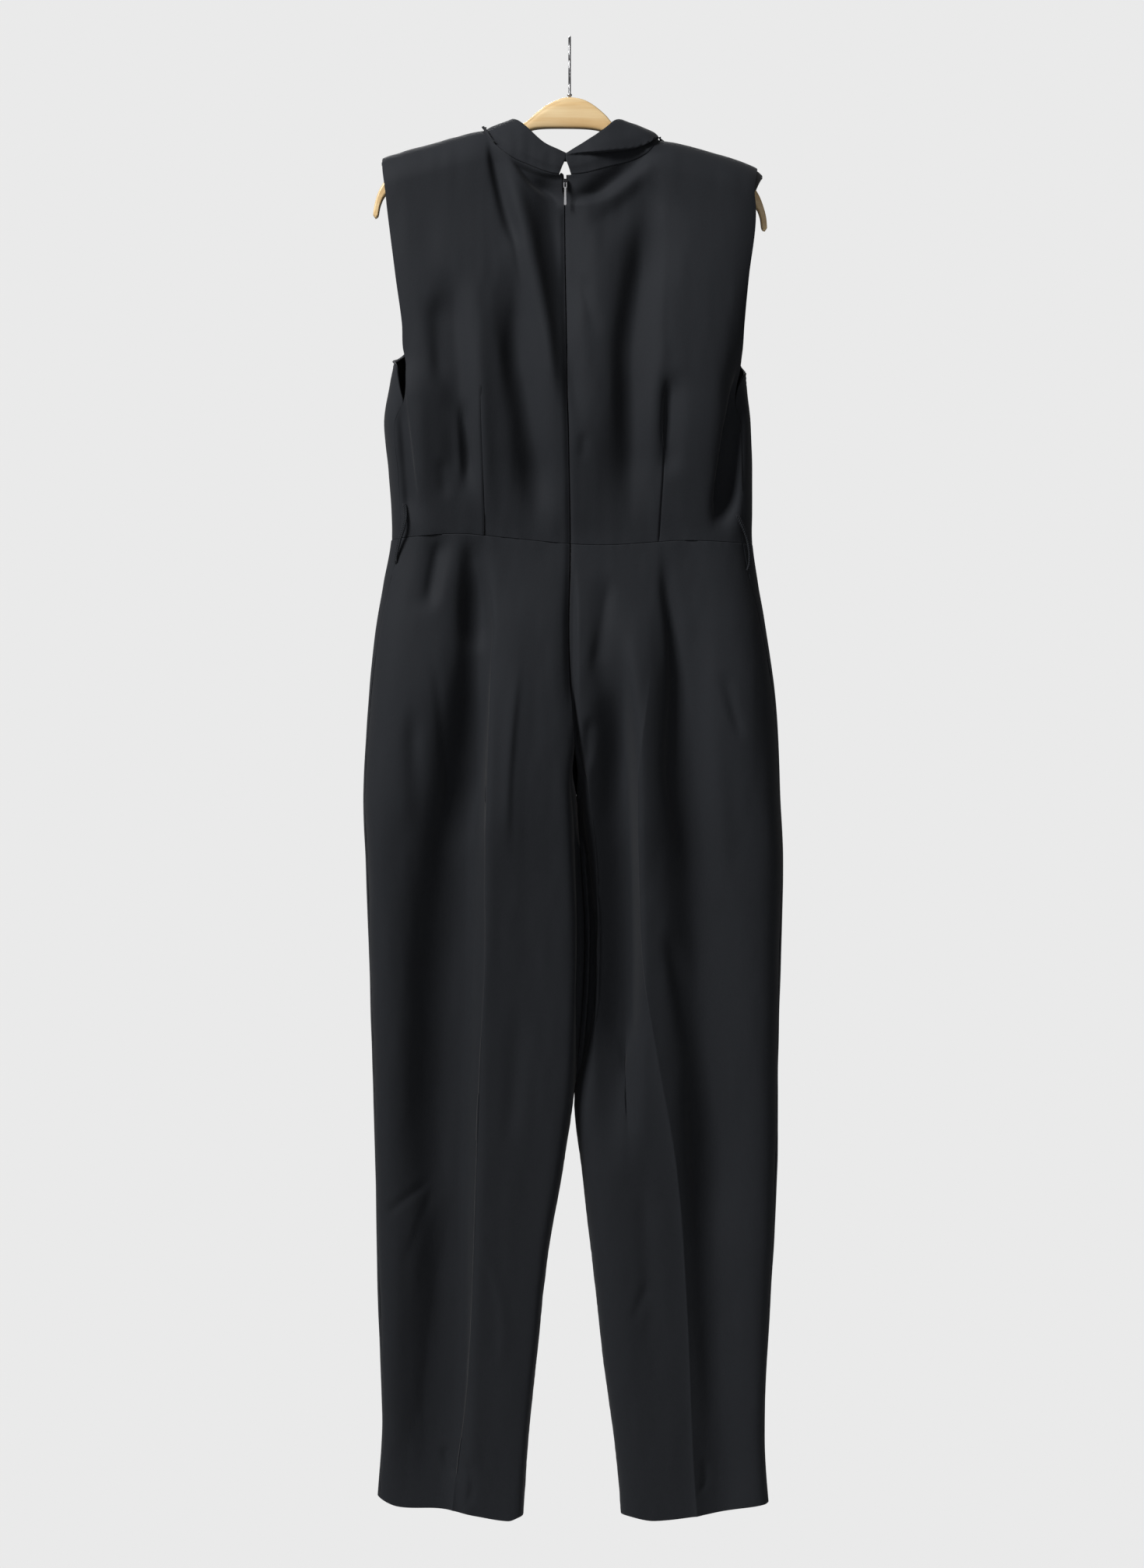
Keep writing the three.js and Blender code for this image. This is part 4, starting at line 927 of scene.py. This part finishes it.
def lapped(side, points):  # the two edges roll in at the centre back, over the zip
    z, away = points[..., 2], edgeDistance(points, "last")
    shut = smooth((z - lap["bottom"]) / 40) * smooth((lap["top"] - z) / 20)
    rolled, edge = lap["left"] * np.exp(-((away / lap["leftWidth"]) ** 2)), lap["right"]
    sunk = rolled if side == "left" else edge * np.exp(-away / lap["rightWidth"])
    points[..., 1] += sunk * shut
    return points


def addBodice():
    across, down = panels["bodiceAcross"], panels["bodiceDown"]
    u, v = columnsOf(across, cut["dartAt"])[None, :], rowsOf(down)[:, None]
    made = {}
    for seed, side in enumerate(("left", "right")):
        facing = 1 if side == "left" else -1
        points = bodicePoint(side, "back", u, v)
        normals = normalsOf(points, facing)
        points = points - normals * dartDepth(side, points)[..., None]
        points = lapped(side, points)
        points = dressed(points, facing, ("last", "bottom"), 20 + seed)
        name = "bodiceBack" + side.capitalize()
        edges = {"first": "edge", "last": "seam", "bottom": "seam", "top": "seam"}
        made[name] = sewnPanel(name, points, facing, edges)
        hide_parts(f"bodice_back_{side}")
    left = bodicePoint("left", "front", u, v)
    right = bodicePoint("right", "front", u, v)[:, ::-1]
    points = np.concatenate([left[:, :-1], right], 1)
    points = dressed(points, -1, ("bottom",), 30)
    edges = {"first": "edge", "last": "edge", "bottom": "seam", "top": "seam"}
    made["bodiceFront"] = sewnPanel("bodiceFront", points, -1, edges)
    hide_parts("bodice_front")
    return made


overlap = {
    "from": -640, "width": 14, "left": -4.2, "right": 9, "across": 0.5,
    "parted": 0.6, "partedTo": -700,
}


def overlapped(side, points):  # between seat and knee the left leg lies a little in front of the right
    z, away = points[..., 2], edgeDistance(points, "last")
    inner = np.exp(-((away / overlap["width"]) ** 2))
    touching = smooth((overlap["from"] - z) / 120) * smooth((z - cut["legsPart"]) / 40) * inner
    sign = 1 if side == "left" else -1
    back = overlap[side] * touching * np.sign(-points[..., 1])
    shift = np.stack([sign * overlap["across"] * touching, back, 0 * z], -1)
    shift[..., 0] -= sign * overlap["parted"] * smooth((z - overlap["partedTo"]) / 20) * np.exp(-away / 3)
    return points + shift


def ironedEdge(side, points):  # the sharp crest of a pressed crease, steep on its left
    x, z = points[..., 0], points[..., 2]
    away = x - read(pressed, side, z)
    fall = np.abs(away) / np.where(away < 0, crease["steep"], crease["gentle"])
    return crease["sharp"][side] * smooth((crease["top"] - z) / crease["sharpOver"]) * np.exp(-fall)


def addTrousers():
    across, down = panels["trouserAcross"], panels["trouserDown"]
    u, v = columnsOf(across, 0.5)[None, :], rowsOf(down)[:, None]
    made = {}
    for number, (side, face) in enumerate((s, f) for s in ("left", "right") for f in ("back", "front")):
        facing = (1 if side == "left" else -1) * (-1 if face == "back" else 1)
        points = trouserPoint(side, face, u, v)
        points = points + normalsOf(points, facing) * ironedEdge(side, points)[..., None]
        points = overlapped(side, points)
        if face == "back":
            points = lapped(side, points)
        points = dressed(points, facing, ("first", "last", "bottom"), 40 + 3 * number)
        name = f"trouser{face.capitalize()}{side.capitalize()}"
        edges = {"first": "seam", "last": "seam", "bottom": "seam", "top": "hem"}
        made[name] = sewnPanel(name, points, facing, edges)
        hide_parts(f"trouser_{face}_{side}")
    return made


# Neckband: top edge from the centre back (-1) over the shoulder (0) to the centre front (1)
bandRows = {
    "left": rows(
        "at x y z swell lip overhang",
        (-1, -4.1, -39, -126.5, 2, 0, 0),
        (-0.75, -26, -37, -116, 3, 0, 0),
        (-0.45, -45, -31, -98, 4, 0, 0),
        (-0.2, -57, -18, -88, 3.5, 0, 0),
        (0, -63, 0, -88, 3, 0, 0),
        (0.2, -61, 18, -103, 2, 0, 0),
        (0.45, -50, 32, -130, 3, 0, 0),
        (0.75, -28, 42, -162, 4, 0, 0),
        (1, -4.5, 47, -186, 4, 0, 0),
    ),
    "right": rows(
        "at x y z swell lip overhang",
        (-1, -3.9, -39, -126.5, 2, 0.9, 1),
        (-0.75, 19, -37, -112.5, 2, 0.62, 9),
        (-0.45, 38, -31, -98.5, 2, 0.42, 14),
        (-0.2, 50, -18, -88, 3, 0.3, 12),
        (0, 61, 0, -90, 6, 0.2, 4),
        (0.2, 60, 18, -105, 5, 0.2, 0),
        (0.45, 46, 32, -130, 3, 0, 0),
        (0.75, 20, 42, -161, 4, 0, 0),
        (1, -3.5, 47, -186, 4, 0, 0),
    ),
}
band = {
    "across": 150, "up": 22, "fromSeam": 0.5, "middleAt": -140,
    "endsMeetAt": 0.72, "endsFrom": 0.7, "lipRise": 0.12, "lipSink": 0.3,
    "softWide": 0.6, "softFine": 0.3,
}


def bandPoints(side):
    u, v = np.linspace(0, 1, band["across"] + 1), np.linspace(0, 1, band["up"] + 1)[:, None, None]
    at = 2 * u - 1
    table = bandRows[side]
    across = cut["dartAt"] + (1 - cut["dartAt"]) * np.abs(at)
    toBack, toFront = (bodicePoint(side, face, across, 1) for face in ("back", "front"))
    sewn = np.where((at < 0)[:, None], toBack, toFront)
    sewn[np.abs(at) < 1e-9, 1] = 0
    creased = creaseDepth(backCreases, sewn[:, 0], sewn[:, 2], shadeShift) * cloth["underBand"] * (at < 0)
    top = np.stack([read(table, axis, at, "at") for axis in "xyz"], -1)
    low = sewn + unit(top - sewn) * band["fromSeam"]
    out = unit(np.stack([sewn[:, 0] - read(centre, side, band["middleAt"]), sewn[:, 1], 0 * at], -1))
    swell = read(table, "swell", at, "at")[None, :, None] * np.sin(math.pi * v) * np.minimum(1, 2.5 * v + 0.2)
    points = low + (top - low) * v + out * swell
    points[..., 1] += creased * (1 - v[..., 0]) ** 2
    # on the right the band has flopped outwards, so that it hangs over a lip
    lip, overhang = (read(table, column, at, "at")[None, :, None] for column in ("lip", "overhang"))
    flop = smooth((v - lip + 0.07) / band["lipRise"]) * np.clip((1 - v) / np.maximum(0.05, 1 - lip), 0, 1)
    points = points + out * overhang * flop
    points[..., 2:] -= band["lipSink"] * overhang * np.exp(-(((v - lip - 0.05) / 0.1) ** 2))
    nearEnd = np.maximum(0, (-at - band["endsFrom"]) / (1 - band["endsFrom"])) ** 2
    gape = np.abs(low[:, 0] - top[:, 0]) * nearEnd
    height = v[..., 0]
    shut = np.maximum(0, gape * (1 - height) - gape * np.maximum(0, 1 - height / band["endsMeetAt"]))
    points[..., 0] += shut * (1 if side == "left" else -1)
    return points


def addNeckband():
    made = {}
    for side in ("left", "right"):
        facing = -1 if side == "left" else 1
        points = bandPoints(side)
        normals = normalsOf(points, facing)
        x, z = points[..., 0], points[..., 2]
        soft = band["softWide"] * softNoise(x, z, 14, 26, 61) + band["softFine"] * softNoise(x, z, 7, 12, 62)
        points = points - normals * soft[..., None]
        name = "neckband" + side.capitalize()
        edges = {"first": "edge", "last": "seam", "bottom": "seam", "top": "hem"}
        made[name] = sewnPanel(name, points, facing, edges)
        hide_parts(f"neckband_{side}")
    return made


garment = {**addBodice(), **addTrousers(), **addNeckband()}
print("cloth panels made:", len(garment))


# Shoulder pads
pad = {
    "nearNeck": 104, "left": -198, "right": 203, "slant": 12, "reach": 78,
    "thin": 2, "thick": 10, "clear": 2.4, "tuck": 1.6, "stitch": 0.35, "stitchAt": 5, "width": 90,
    "across": 26, "around": 56,
}


def padPlace(side, angle, along):
    z = read(shoulder, "z", along, "x") - cut["crown"] * (1 - np.cos(angle))
    back = np.abs(skin(side, "back", acrossAt(side, z, along), z)[..., 1])
    front = np.abs(skin(side, "front", acrossAt(side, z, along), z)[..., 1])
    return np.stack([along + 0 * angle, np.where(angle < 0, -back, front), z], -1)


def addPads():
    made = {}
    for side in ("left", "right"):
        sign = -1 if side == "left" else 1
        u, v = np.linspace(0, 1, pad["across"] + 1)[None, :], np.linspace(0, 1, pad["around"] + 1)[:, None]
        angle = np.radians((2 * v - 1) * pad["reach"])
        x = sign * pad["nearNeck"] + (pad[side] - sign * pad["nearNeck"]) * u
        x = x - sign * u * pad["slant"] * (1 - np.cos(angle))
        angle = angle + 0 * x
        places = padPlace(side, angle, x)
        turn = padPlace(side, angle + 1e-3, x) - padPlace(side, angle - 1e-3, x)
        away = unit(np.stack([0 * x, -turn[..., 2], turn[..., 1]], -1))
        away = away * np.where(away[..., 2:] < 0, -1, 1)
        edge = np.cos((2 * v - 1) * math.pi / 2) ** 2
        rounded = np.sqrt(np.clip(1 - np.clip((u - 0.93) / 0.07, 0, 1) ** 2, 0, 1)) * 0.75 + 0.25
        through = (1 + (pad["thin"] + (pad["thick"] - pad["thin"]) * u) * edge) * rounded
        fromEnd = (1 - u) * pad["width"]
        stitched = pad["stitch"] * np.exp(-(((fromEnd - pad["stitchAt"]) / 1.2) ** 2))
        under = pad["clear"] + (1 - rounded) * pad["tuck"]
        outer = places - away * (under + stitched)[..., None]
        inner = places - away * (under + through)[..., None]
        name = "shoulderPad" + side.capitalize()
        made[name] = closedShell(name, outer, inner, materials["padding"])
        standIn(made[name], f"shoulder_pad_{side}")
    return made


def closedShell(name, outer, inner, material):
    tall, wide = outer.shape[:2]
    a = np.arange(tall * wide).reshape(tall, wide)
    b = a + tall * wide
    quads = [np.stack([a[:-1, :-1], a[:-1, 1:], a[1:, 1:], a[1:, :-1]], -1).reshape(-1, 4)]
    quads.append(np.stack([b[:-1, :-1], b[1:, :-1], b[1:, 1:], b[:-1, 1:]], -1).reshape(-1, 4))
    rim = np.concatenate([a[0, :-1], a[:-1, -1], a[-1, :0:-1], a[:0:-1, 0]])
    after = np.roll(rim, -1)
    quads.append(np.stack([after, rim, rim + tall * wide, after + tall * wide], -1))
    points = np.concatenate([outer.reshape(-1, 3), inner.reshape(-1, 3)])
    made = meshObject(name, points, np.concatenate(quads).tolist(), material)
    first, second, third = (points[np.concatenate(quads[:2])[:, k]] for k in range(3))
    if np.sum(first * np.cross(second, third)) < 0:
        made.data.flip_normals()
    return made


pads = addPads()
print("shoulder pads made:", len(pads))


# Zip: woven tape, nylon coil, and the slider and pull tab of the model
zipper = {
    "top": -149.5, "bottom": -684, "width": 22, "thickness": 0.8, "behind": 3.1, "pitch": 1.5, "coil": 1.35,
    "wire": 0.32, "openTo": -163, "openHalf": 1.28, "rib": 0.18,
    "sink": 2.2, "sinkFrom": -172, "hide": 12, "hideFrom": -620,
}


def tapePoints(x, z):  # behind the cloth, and as creased as it is
    onLeft = x < read(centre, "left", z)
    left = skin("left", "back", np.minimum(1, acrossAt("left", z, x)), z)[..., 1]
    right = skin("right", "back", np.minimum(1, acrossAt("right", z, x)), z)[..., 1]
    depth = zipper["behind"] + creaseDepth(backCreases, x, z, shadeShift)
    depth += zipper["sink"] * smooth((zipper["sinkFrom"] - z) / 14)
    depth += zipper["hide"] * smooth((zipper["hideFrom"] - z) / 60)
    return np.stack([x, np.where(onLeft, left, right) + depth, z], -1)


def stringerPart(z):  # half the gap between the two rows of teeth, open above the slider
    return zipper["openHalf"] * smooth((z - zipper["openTo"]) / 8) ** 0.8


def addZip():
    z = np.linspace(zipper["top"], zipper["bottom"], 180)
    made = []
    for side in (-1, 1):
        inner = read(centre, "left", z) + side * (0.25 + stringerPart(z))
        across = np.linspace(0, 1, 9)[None, :]
        x = inner[:, None] + side * across * (zipper["width"] / 2 - 0.25)
        points = tapePoints(x, z[:, None] + 0 * x)
        points[..., 1] += zipper["rib"] * np.cos(across * 9 * math.pi)
        name = "zipTapeLeft" if side < 0 else "zipTapeRight"
        made.append(gridMesh(name, points, side, materials["tape"], zipper["thickness"]))
    made.append(addCoil())
    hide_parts("zip_tape")
    for piece in made:
        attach(piece, body)
    return made


def addCoil():
    turns = int((zipper["top"] - zipper["bottom"]) / zipper["pitch"])
    steps, sides = 7, 5
    points, faces = [], []
    for side in (-1, 1):
        t = np.arange(turns * steps) / steps
        z = zipper["top"] - 1 - t * zipper["pitch"]
        turn = 2 * math.pi * t
        out = 0.1 + stringerPart(z) + zipper["coil"] * (0.5 - 0.5 * np.cos(turn))
        x = read(centre, "left", z) + side * out
        base = tapePoints(x, z)
        base[:, 1] -= 0.75 + 0.55 * np.sin(turn)
        along = unit(np.gradient(base, axis=0))
        first = unit(np.cross(along, [0, 0, 1]))
        second = np.cross(along, first)
        start = len(points)
        for k in range(len(base)):
            for s in range(sides):
                a = 2 * math.pi * s / sides
                points.append(base[k] + zipper["wire"] * (math.cos(a) * first[k] + math.sin(a) * second[k]))
        faces += ringFaces(len(base), sides, start)
    return meshObject("zipCoil", points, faces, materials["nylon"])


zipParts = addZip()
for node, finish in (("zip_slider", "zipEnamel"), ("zip_pull", "zipMetal")):
    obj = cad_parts[node]
    obj.data.materials.clear()
    obj.data.materials.append(materials[finish])
    soften = obj.modifiers.new("rounded edges", "BEVEL")
    soften.width, soften.segments = 0.25 * mm, 2
print("zip made")


# Belt carriers: crocheted thread chains over the side seams
carrierRows = {
    "left": rows(
        "z x off", (-493, -173, 0.9), (-497, -172, 1.6), (-513, -170.5, 4.5), (-530, -174.5, 5),
        (-548, -180, 2.4), (-553, -181, 1.2),
    ),
    "right": rows(
        "z x off", (-504, 175, 0.9), (-508, 177, 1.6), (-526, 182, 4.5), (-542, 185, 4.5), (-556, 187, 1.8),
        (-561, 186, 0.9),
    ),
}
carrier = {"width": 4.4, "strand": 0.95, "knot": 0.6, "links": 17, "sides": 6}


def tube(points, radius, sides):
    along = unit(np.gradient(points, axis=0))
    first = unit(np.cross(along, [0.31, 0.9, 0.28]))
    second = np.cross(along, first)
    angle = 2 * math.pi * np.arange(sides) / sides
    ring = np.cos(angle)[None, :, None] * first[:, None] + np.sin(angle)[None, :, None] * second[:, None]
    around = points[:, None] + ring * np.reshape(radius * np.ones(len(points)), (-1, 1, 1))
    return around.reshape(-1, 3), ringFaces(len(points), sides) + endCaps(len(points), sides)


def addTube(points, faces, line, radius):
    more, moreFaces = tube(line, radius, carrier["sides"])
    faces += [tuple(i + len(points) for i in face) for face in moreFaces]
    points += more.tolist()


def addCarrier(side):
    table = carrierRows[side]
    z = np.linspace(table["z"][0], table["z"][-1], 170)
    x = read(table, "x", z)
    share = acrossAt(side, z, x)
    point = skin(side, "back", share, z)
    beside = skin(side, "back", share + 0.002, z) - point
    below = skin(side, "back", share, z - 0.5) - point
    away = unit(np.cross(beside, below))
    away = away * np.where(away[:, 1:2] > 0, -1, 1)
    line = point + away * read(table, "off", z)[:, None]
    along = unit(np.gradient(line, axis=0))
    across = np.cross(along, away)
    points, faces = [], []
    phase = np.linspace(0, 1, len(z)) * carrier["links"] * math.pi
    for strand in range(3):
        turn = phase + strand * 2 * math.pi / 3
        braid = line + across * (carrier["width"] / 2 - carrier["strand"]) * np.sin(turn)[:, None]
        braid = braid + away * 0.4 * np.sin(2 * turn)[:, None]
        addTube(points, faces, braid, carrier["strand"])
    for end in (0, -1):  # knots at its two ends
        knot = line[end] + across[end] * 0.2
        spin = np.linspace(0, 2.6 * math.pi, 22)
        wound = knot + 1.1 * (np.cos(spin)[:, None] * across[end] + np.sin(spin)[:, None] * along[end])
        wound = wound + away[end] * np.linspace(-0.5, 0.6, 22)[:, None]
        addTube(points, faces, wound, carrier["knot"])
    made = meshObject("beltCarrier" + side.capitalize(), points, faces, materials["crepe"])
    return standIn(made, f"belt_loop_{side}")


carriers = [addCarrier(side) for side in ("left", "right")]
print("belt carriers made:", len(carriers))


# Hanger: a shaped birch board and its wire hook
boardTop = rows(
    "x z",
    (-207, -186), (-205.3, -175), (-200.5, -160), (-192, -146.5), (-184, -137.5), (-176, -132),
    (-161, -126.5), (-137, -118), (-121, -112.4), (-105, -106.9), (-90, -101.8), (-62, -93.3), (-47, -88.6),
    (-36.5, -79.6), (-24, -70), (-10, -63.6), (0, -62), (14, -64.3), (26, -70.8), (38, -81), (47, -91),
    (62, -97.5), (80, -105.5), (95, -112.4), (105, -115.7), (121, -120.1), (137, -125.5), (153, -131.3),
    (169, -137.7), (179, -142.2), (188, -149), (196, -159.5), (201.5, -170), (206.5, -186), (208, -199.5),
)
boardBottom = rows(
    "x z",
    (-204.5, -189.8), (-201.3, -187), (-199, -176), (-193, -165), (-178, -156.5), (-145, -144), (-105, -127),
    (-70, -111), (-50, -101), (-34, -95.6), (-4, -94.8), (24, -96), (42, -101), (66, -114), (100, -133),
    (140, -151), (174, -166), (194, -177), (200, -188), (202, -200.5), (205.5, -203),
)
hanger = {
    "thickness": 12, "stations": 220, "around": 36, "wire": 2.8,
    "groove": 0.55, "grooveAt": 4.2, "grooveWidth": 0.8,
}


def addBoard():
    count, around = hanger["stations"], hanger["around"]
    top, bottom = (ringed(np.stack([edge["x"], edge["z"]], 1), count) for edge in (boardTop, boardBottom))
    lengths = [np.concatenate([[0], np.cumsum(np.hypot(*np.diff(e, axis=0).T))]) for e in (top, bottom)]
    t = np.linspace(0, 1, count)
    top, bottom = (
        np.stack([np.interp(t, along / along[-1], edge[:, k]) for k in range(2)], 1)
        for edge, along in zip((top, bottom), lengths)
    )
    angle = 2 * math.pi * (np.arange(around) + 0.5) / around
    share = 0.5 - 0.5 * np.sign(np.cos(angle)) * np.abs(np.cos(angle)) ** 0.55
    half = np.abs(np.sin(angle)) ** 0.4 * hanger["thickness"] / 2
    grown = np.hypot(*(top - bottom).T)
    ends = np.minimum(1, np.sqrt(np.clip(np.minimum(t, 1 - t) / 0.006, 0, 1)) * 0.35 + 0.65)
    points = []
    for k in range(count):
        x = top[k, 0] + (bottom[k, 0] - top[k, 0]) * share
        z = top[k, 1] + (bottom[k, 1] - top[k, 1]) * share
        fromGroove = (share * grown[k] - hanger["grooveAt"]) / hanger["grooveWidth"]
        routed = hanger["groove"] * np.exp(-(fromGroove**2))
        y = np.sign(np.sin(angle)) * (half * ends[k] - routed * (half > 4))
        points.append(np.stack([x, y, z], 1))
    points = np.concatenate(points)
    faces = ringFaces(count, around) + endCaps(count, around)
    made = meshObject("hangerBoard", points, faces, materials["wood"])
    made.data.flip_normals()
    return standIn(made, "hanger_board")


def addHook():
    line = [
        (0, -61.4), (0, -55), (1, -48), (8, -40), (17, -32), (21.4, -20), (18.5, -9.3), (10.7, -1.5),
        (0, 1.4), (-10.7, -1.5), (-18.5, -9.3), (-21.4, -20), (-20.5, -27),
    ]
    path = ringed(line, 90)
    points = np.stack([0 * path[:, 0], path[:, 0], path[:, 1]], 1)
    radius = np.full(len(points), hanger["wire"] / 2)
    radius[-1] *= 0.55
    radius[-2] *= 0.85
    wire, faces = tube(points, radius, 14)
    collar = [(1, -58.4), (2.3, -58.5), (2.52, -58.8), (2.52, -60), (2.3, -60.4), (0.5, -60.4)]
    sides, start, points = 28, len(wire), list(wire)
    for radius, z in collar:
        points += roundPoints(radius, z, sides)
    faces += [face[::-1] for face in ringFaces(len(collar), sides, start)]
    return standIn(meshObject("hangerHook", points, faces, materials["wire"]), "hanger_hook")


addBoard()
addHook()
print("hanger made")

# What each cloth piece was cut to, flat: width, length and the share of that rectangle it fills
flats = {
    "bodiceBackLeft": (0.215, 0.440, 0.9, ["hangerBoard", "shoulderPadLeft"]),
    "bodiceBackRight": (0.215, 0.440, 0.9, ["hangerBoard", "shoulderPadRight"]),
    "bodiceFront": (0.430, 0.440, 0.85, ["hangerBoard", "shoulderPadLeft", "shoulderPadRight"]),
    "trouserBackLeft": (0.260, 1.060, 0.85, ["bodiceBackLeft"]),
    "trouserFrontLeft": (0.260, 1.060, 0.85, ["bodiceFront"]),
    "trouserBackRight": (0.260, 1.060, 0.85, ["bodiceBackRight"]),
    "trouserFrontRight": (0.260, 1.060, 0.85, ["bodiceFront"]),
    "neckbandLeft": (0.270, 0.045, 1.0, ["bodiceFront", "bodiceBackLeft"]),
    "neckbandRight": (0.270, 0.045, 1.0, ["bodiceFront", "bodiceBackRight"]),
}
for name, (width, length, filled, restsOn) in flats.items():
    piece = garment[name]
    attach(piece, body)

# Studio
studio = {
    "distance": 3.9,
    "aim": (0.0025, -0.785),
    "photoHeight": 2014,
    "mmPerPixel": 0.82,
    "floor": -1.9,
    "floorRadius": 1.25,
    "backdrop": 0.823,
    "ambient": 0.12,
}
lights = [  # name, place, aim, size in metres, watts
    ("keyLight", (-1.93, -1.6, 1.45), (0, 0, -0.58), 1.1, 114),
    ("fillLight", (0.6, -3.3, -0.2), (0, 0, -0.8), 2.0, 8.5),
    ("frontLight", (-0.5, 2.8, 1.6), (0, 0, -0.8), 0.8, 40),
]


def addArea(name, place, aim, size, power):
    light = bpy.data.lights.new(name, "AREA")
    light.shape, light.size, light.energy = "SQUARE", size, power
    obj = bpy.data.objects.new(name, light)
    obj.location = place
    towards = np.array(aim, float) - np.array(place, float)
    obj.rotation_euler = (
        math.atan2(math.hypot(towards[0], towards[1]), -towards[2]), 0, math.atan2(-towards[0], towards[1])
    )
    bpy.context.scene.collection.objects.link(obj)


def addCamera():
    camera = bpy.data.cameras.new("camera")
    camera.sensor_fit = "AUTO"
    seenHeight = studio["photoHeight"] * studio["mmPerPixel"] * mm
    camera.lens = camera.sensor_width * studio["distance"] / seenHeight
    camera.clip_end = 50
    obj = bpy.data.objects.new("camera", camera)
    obj.location = (studio["aim"][0], -studio["distance"], studio["aim"][1])
    obj.rotation_euler = (math.pi / 2, 0, 0)
    bpy.context.scene.collection.objects.link(obj)
    bpy.context.scene.camera = obj


def addWorld():  # the camera sees the pale backdrop, and the garment a weaker light from all round
    world = bpy.data.worlds.new("studio")
    world.use_nodes = True
    tree = world.node_tree
    tree.nodes.clear()
    seen, lighting = tree.nodes.new("ShaderNodeBackground"), tree.nodes.new("ShaderNodeBackground")
    seen.inputs["Color"].default_value = (studio["backdrop"],) * 3 + (1,)
    lighting.inputs["Color"].default_value = (1, 1, 1, 1)
    lighting.inputs["Strength"].default_value = studio["ambient"]
    rays, mix = tree.nodes.new("ShaderNodeLightPath"), tree.nodes.new("ShaderNodeMixShader")
    output = tree.nodes.new("ShaderNodeOutputWorld")
    tree.links.new(rays.outputs["Is Camera Ray"], mix.inputs["Fac"])
    tree.links.new(lighting.outputs[0], mix.inputs[1])
    tree.links.new(seen.outputs[0], mix.inputs[2])
    tree.links.new(mix.outputs[0], output.inputs["Surface"])
    bpy.context.scene.world = world
    bpy.context.scene.view_settings.view_transform = "Standard"


def addFloor():
    rings, sides, floorZ = 12, 96, studio["floor"] / mm
    points = [(0, 0, floorZ)]
    for k in range(1, rings + 1):
        points += roundPoints(studio["floorRadius"] / mm * k / rings, floorZ, sides)
    faces = [(0, 1 + s, 1 + (s + 1) % sides) for s in range(sides)]
    faces += [face[::-1] for face in ringFaces(rings, sides, 1)]
    material, floorTree, shader = newMaterial("paleFloor", 0.85)
    handled = placed(floorTree, handlingGroup, Scale=1.5, Contrast=0.8)
    paint(floorTree, shader, handled.outputs["Mask"], (0.8, 0.8, 0.8), (0.84, 0.84, 0.84))
    floor = meshObject("studioFloor", points, faces, material)


addCamera()
addWorld()
for light in lights:
    addArea(*light)
addFloor()
print("studio made")
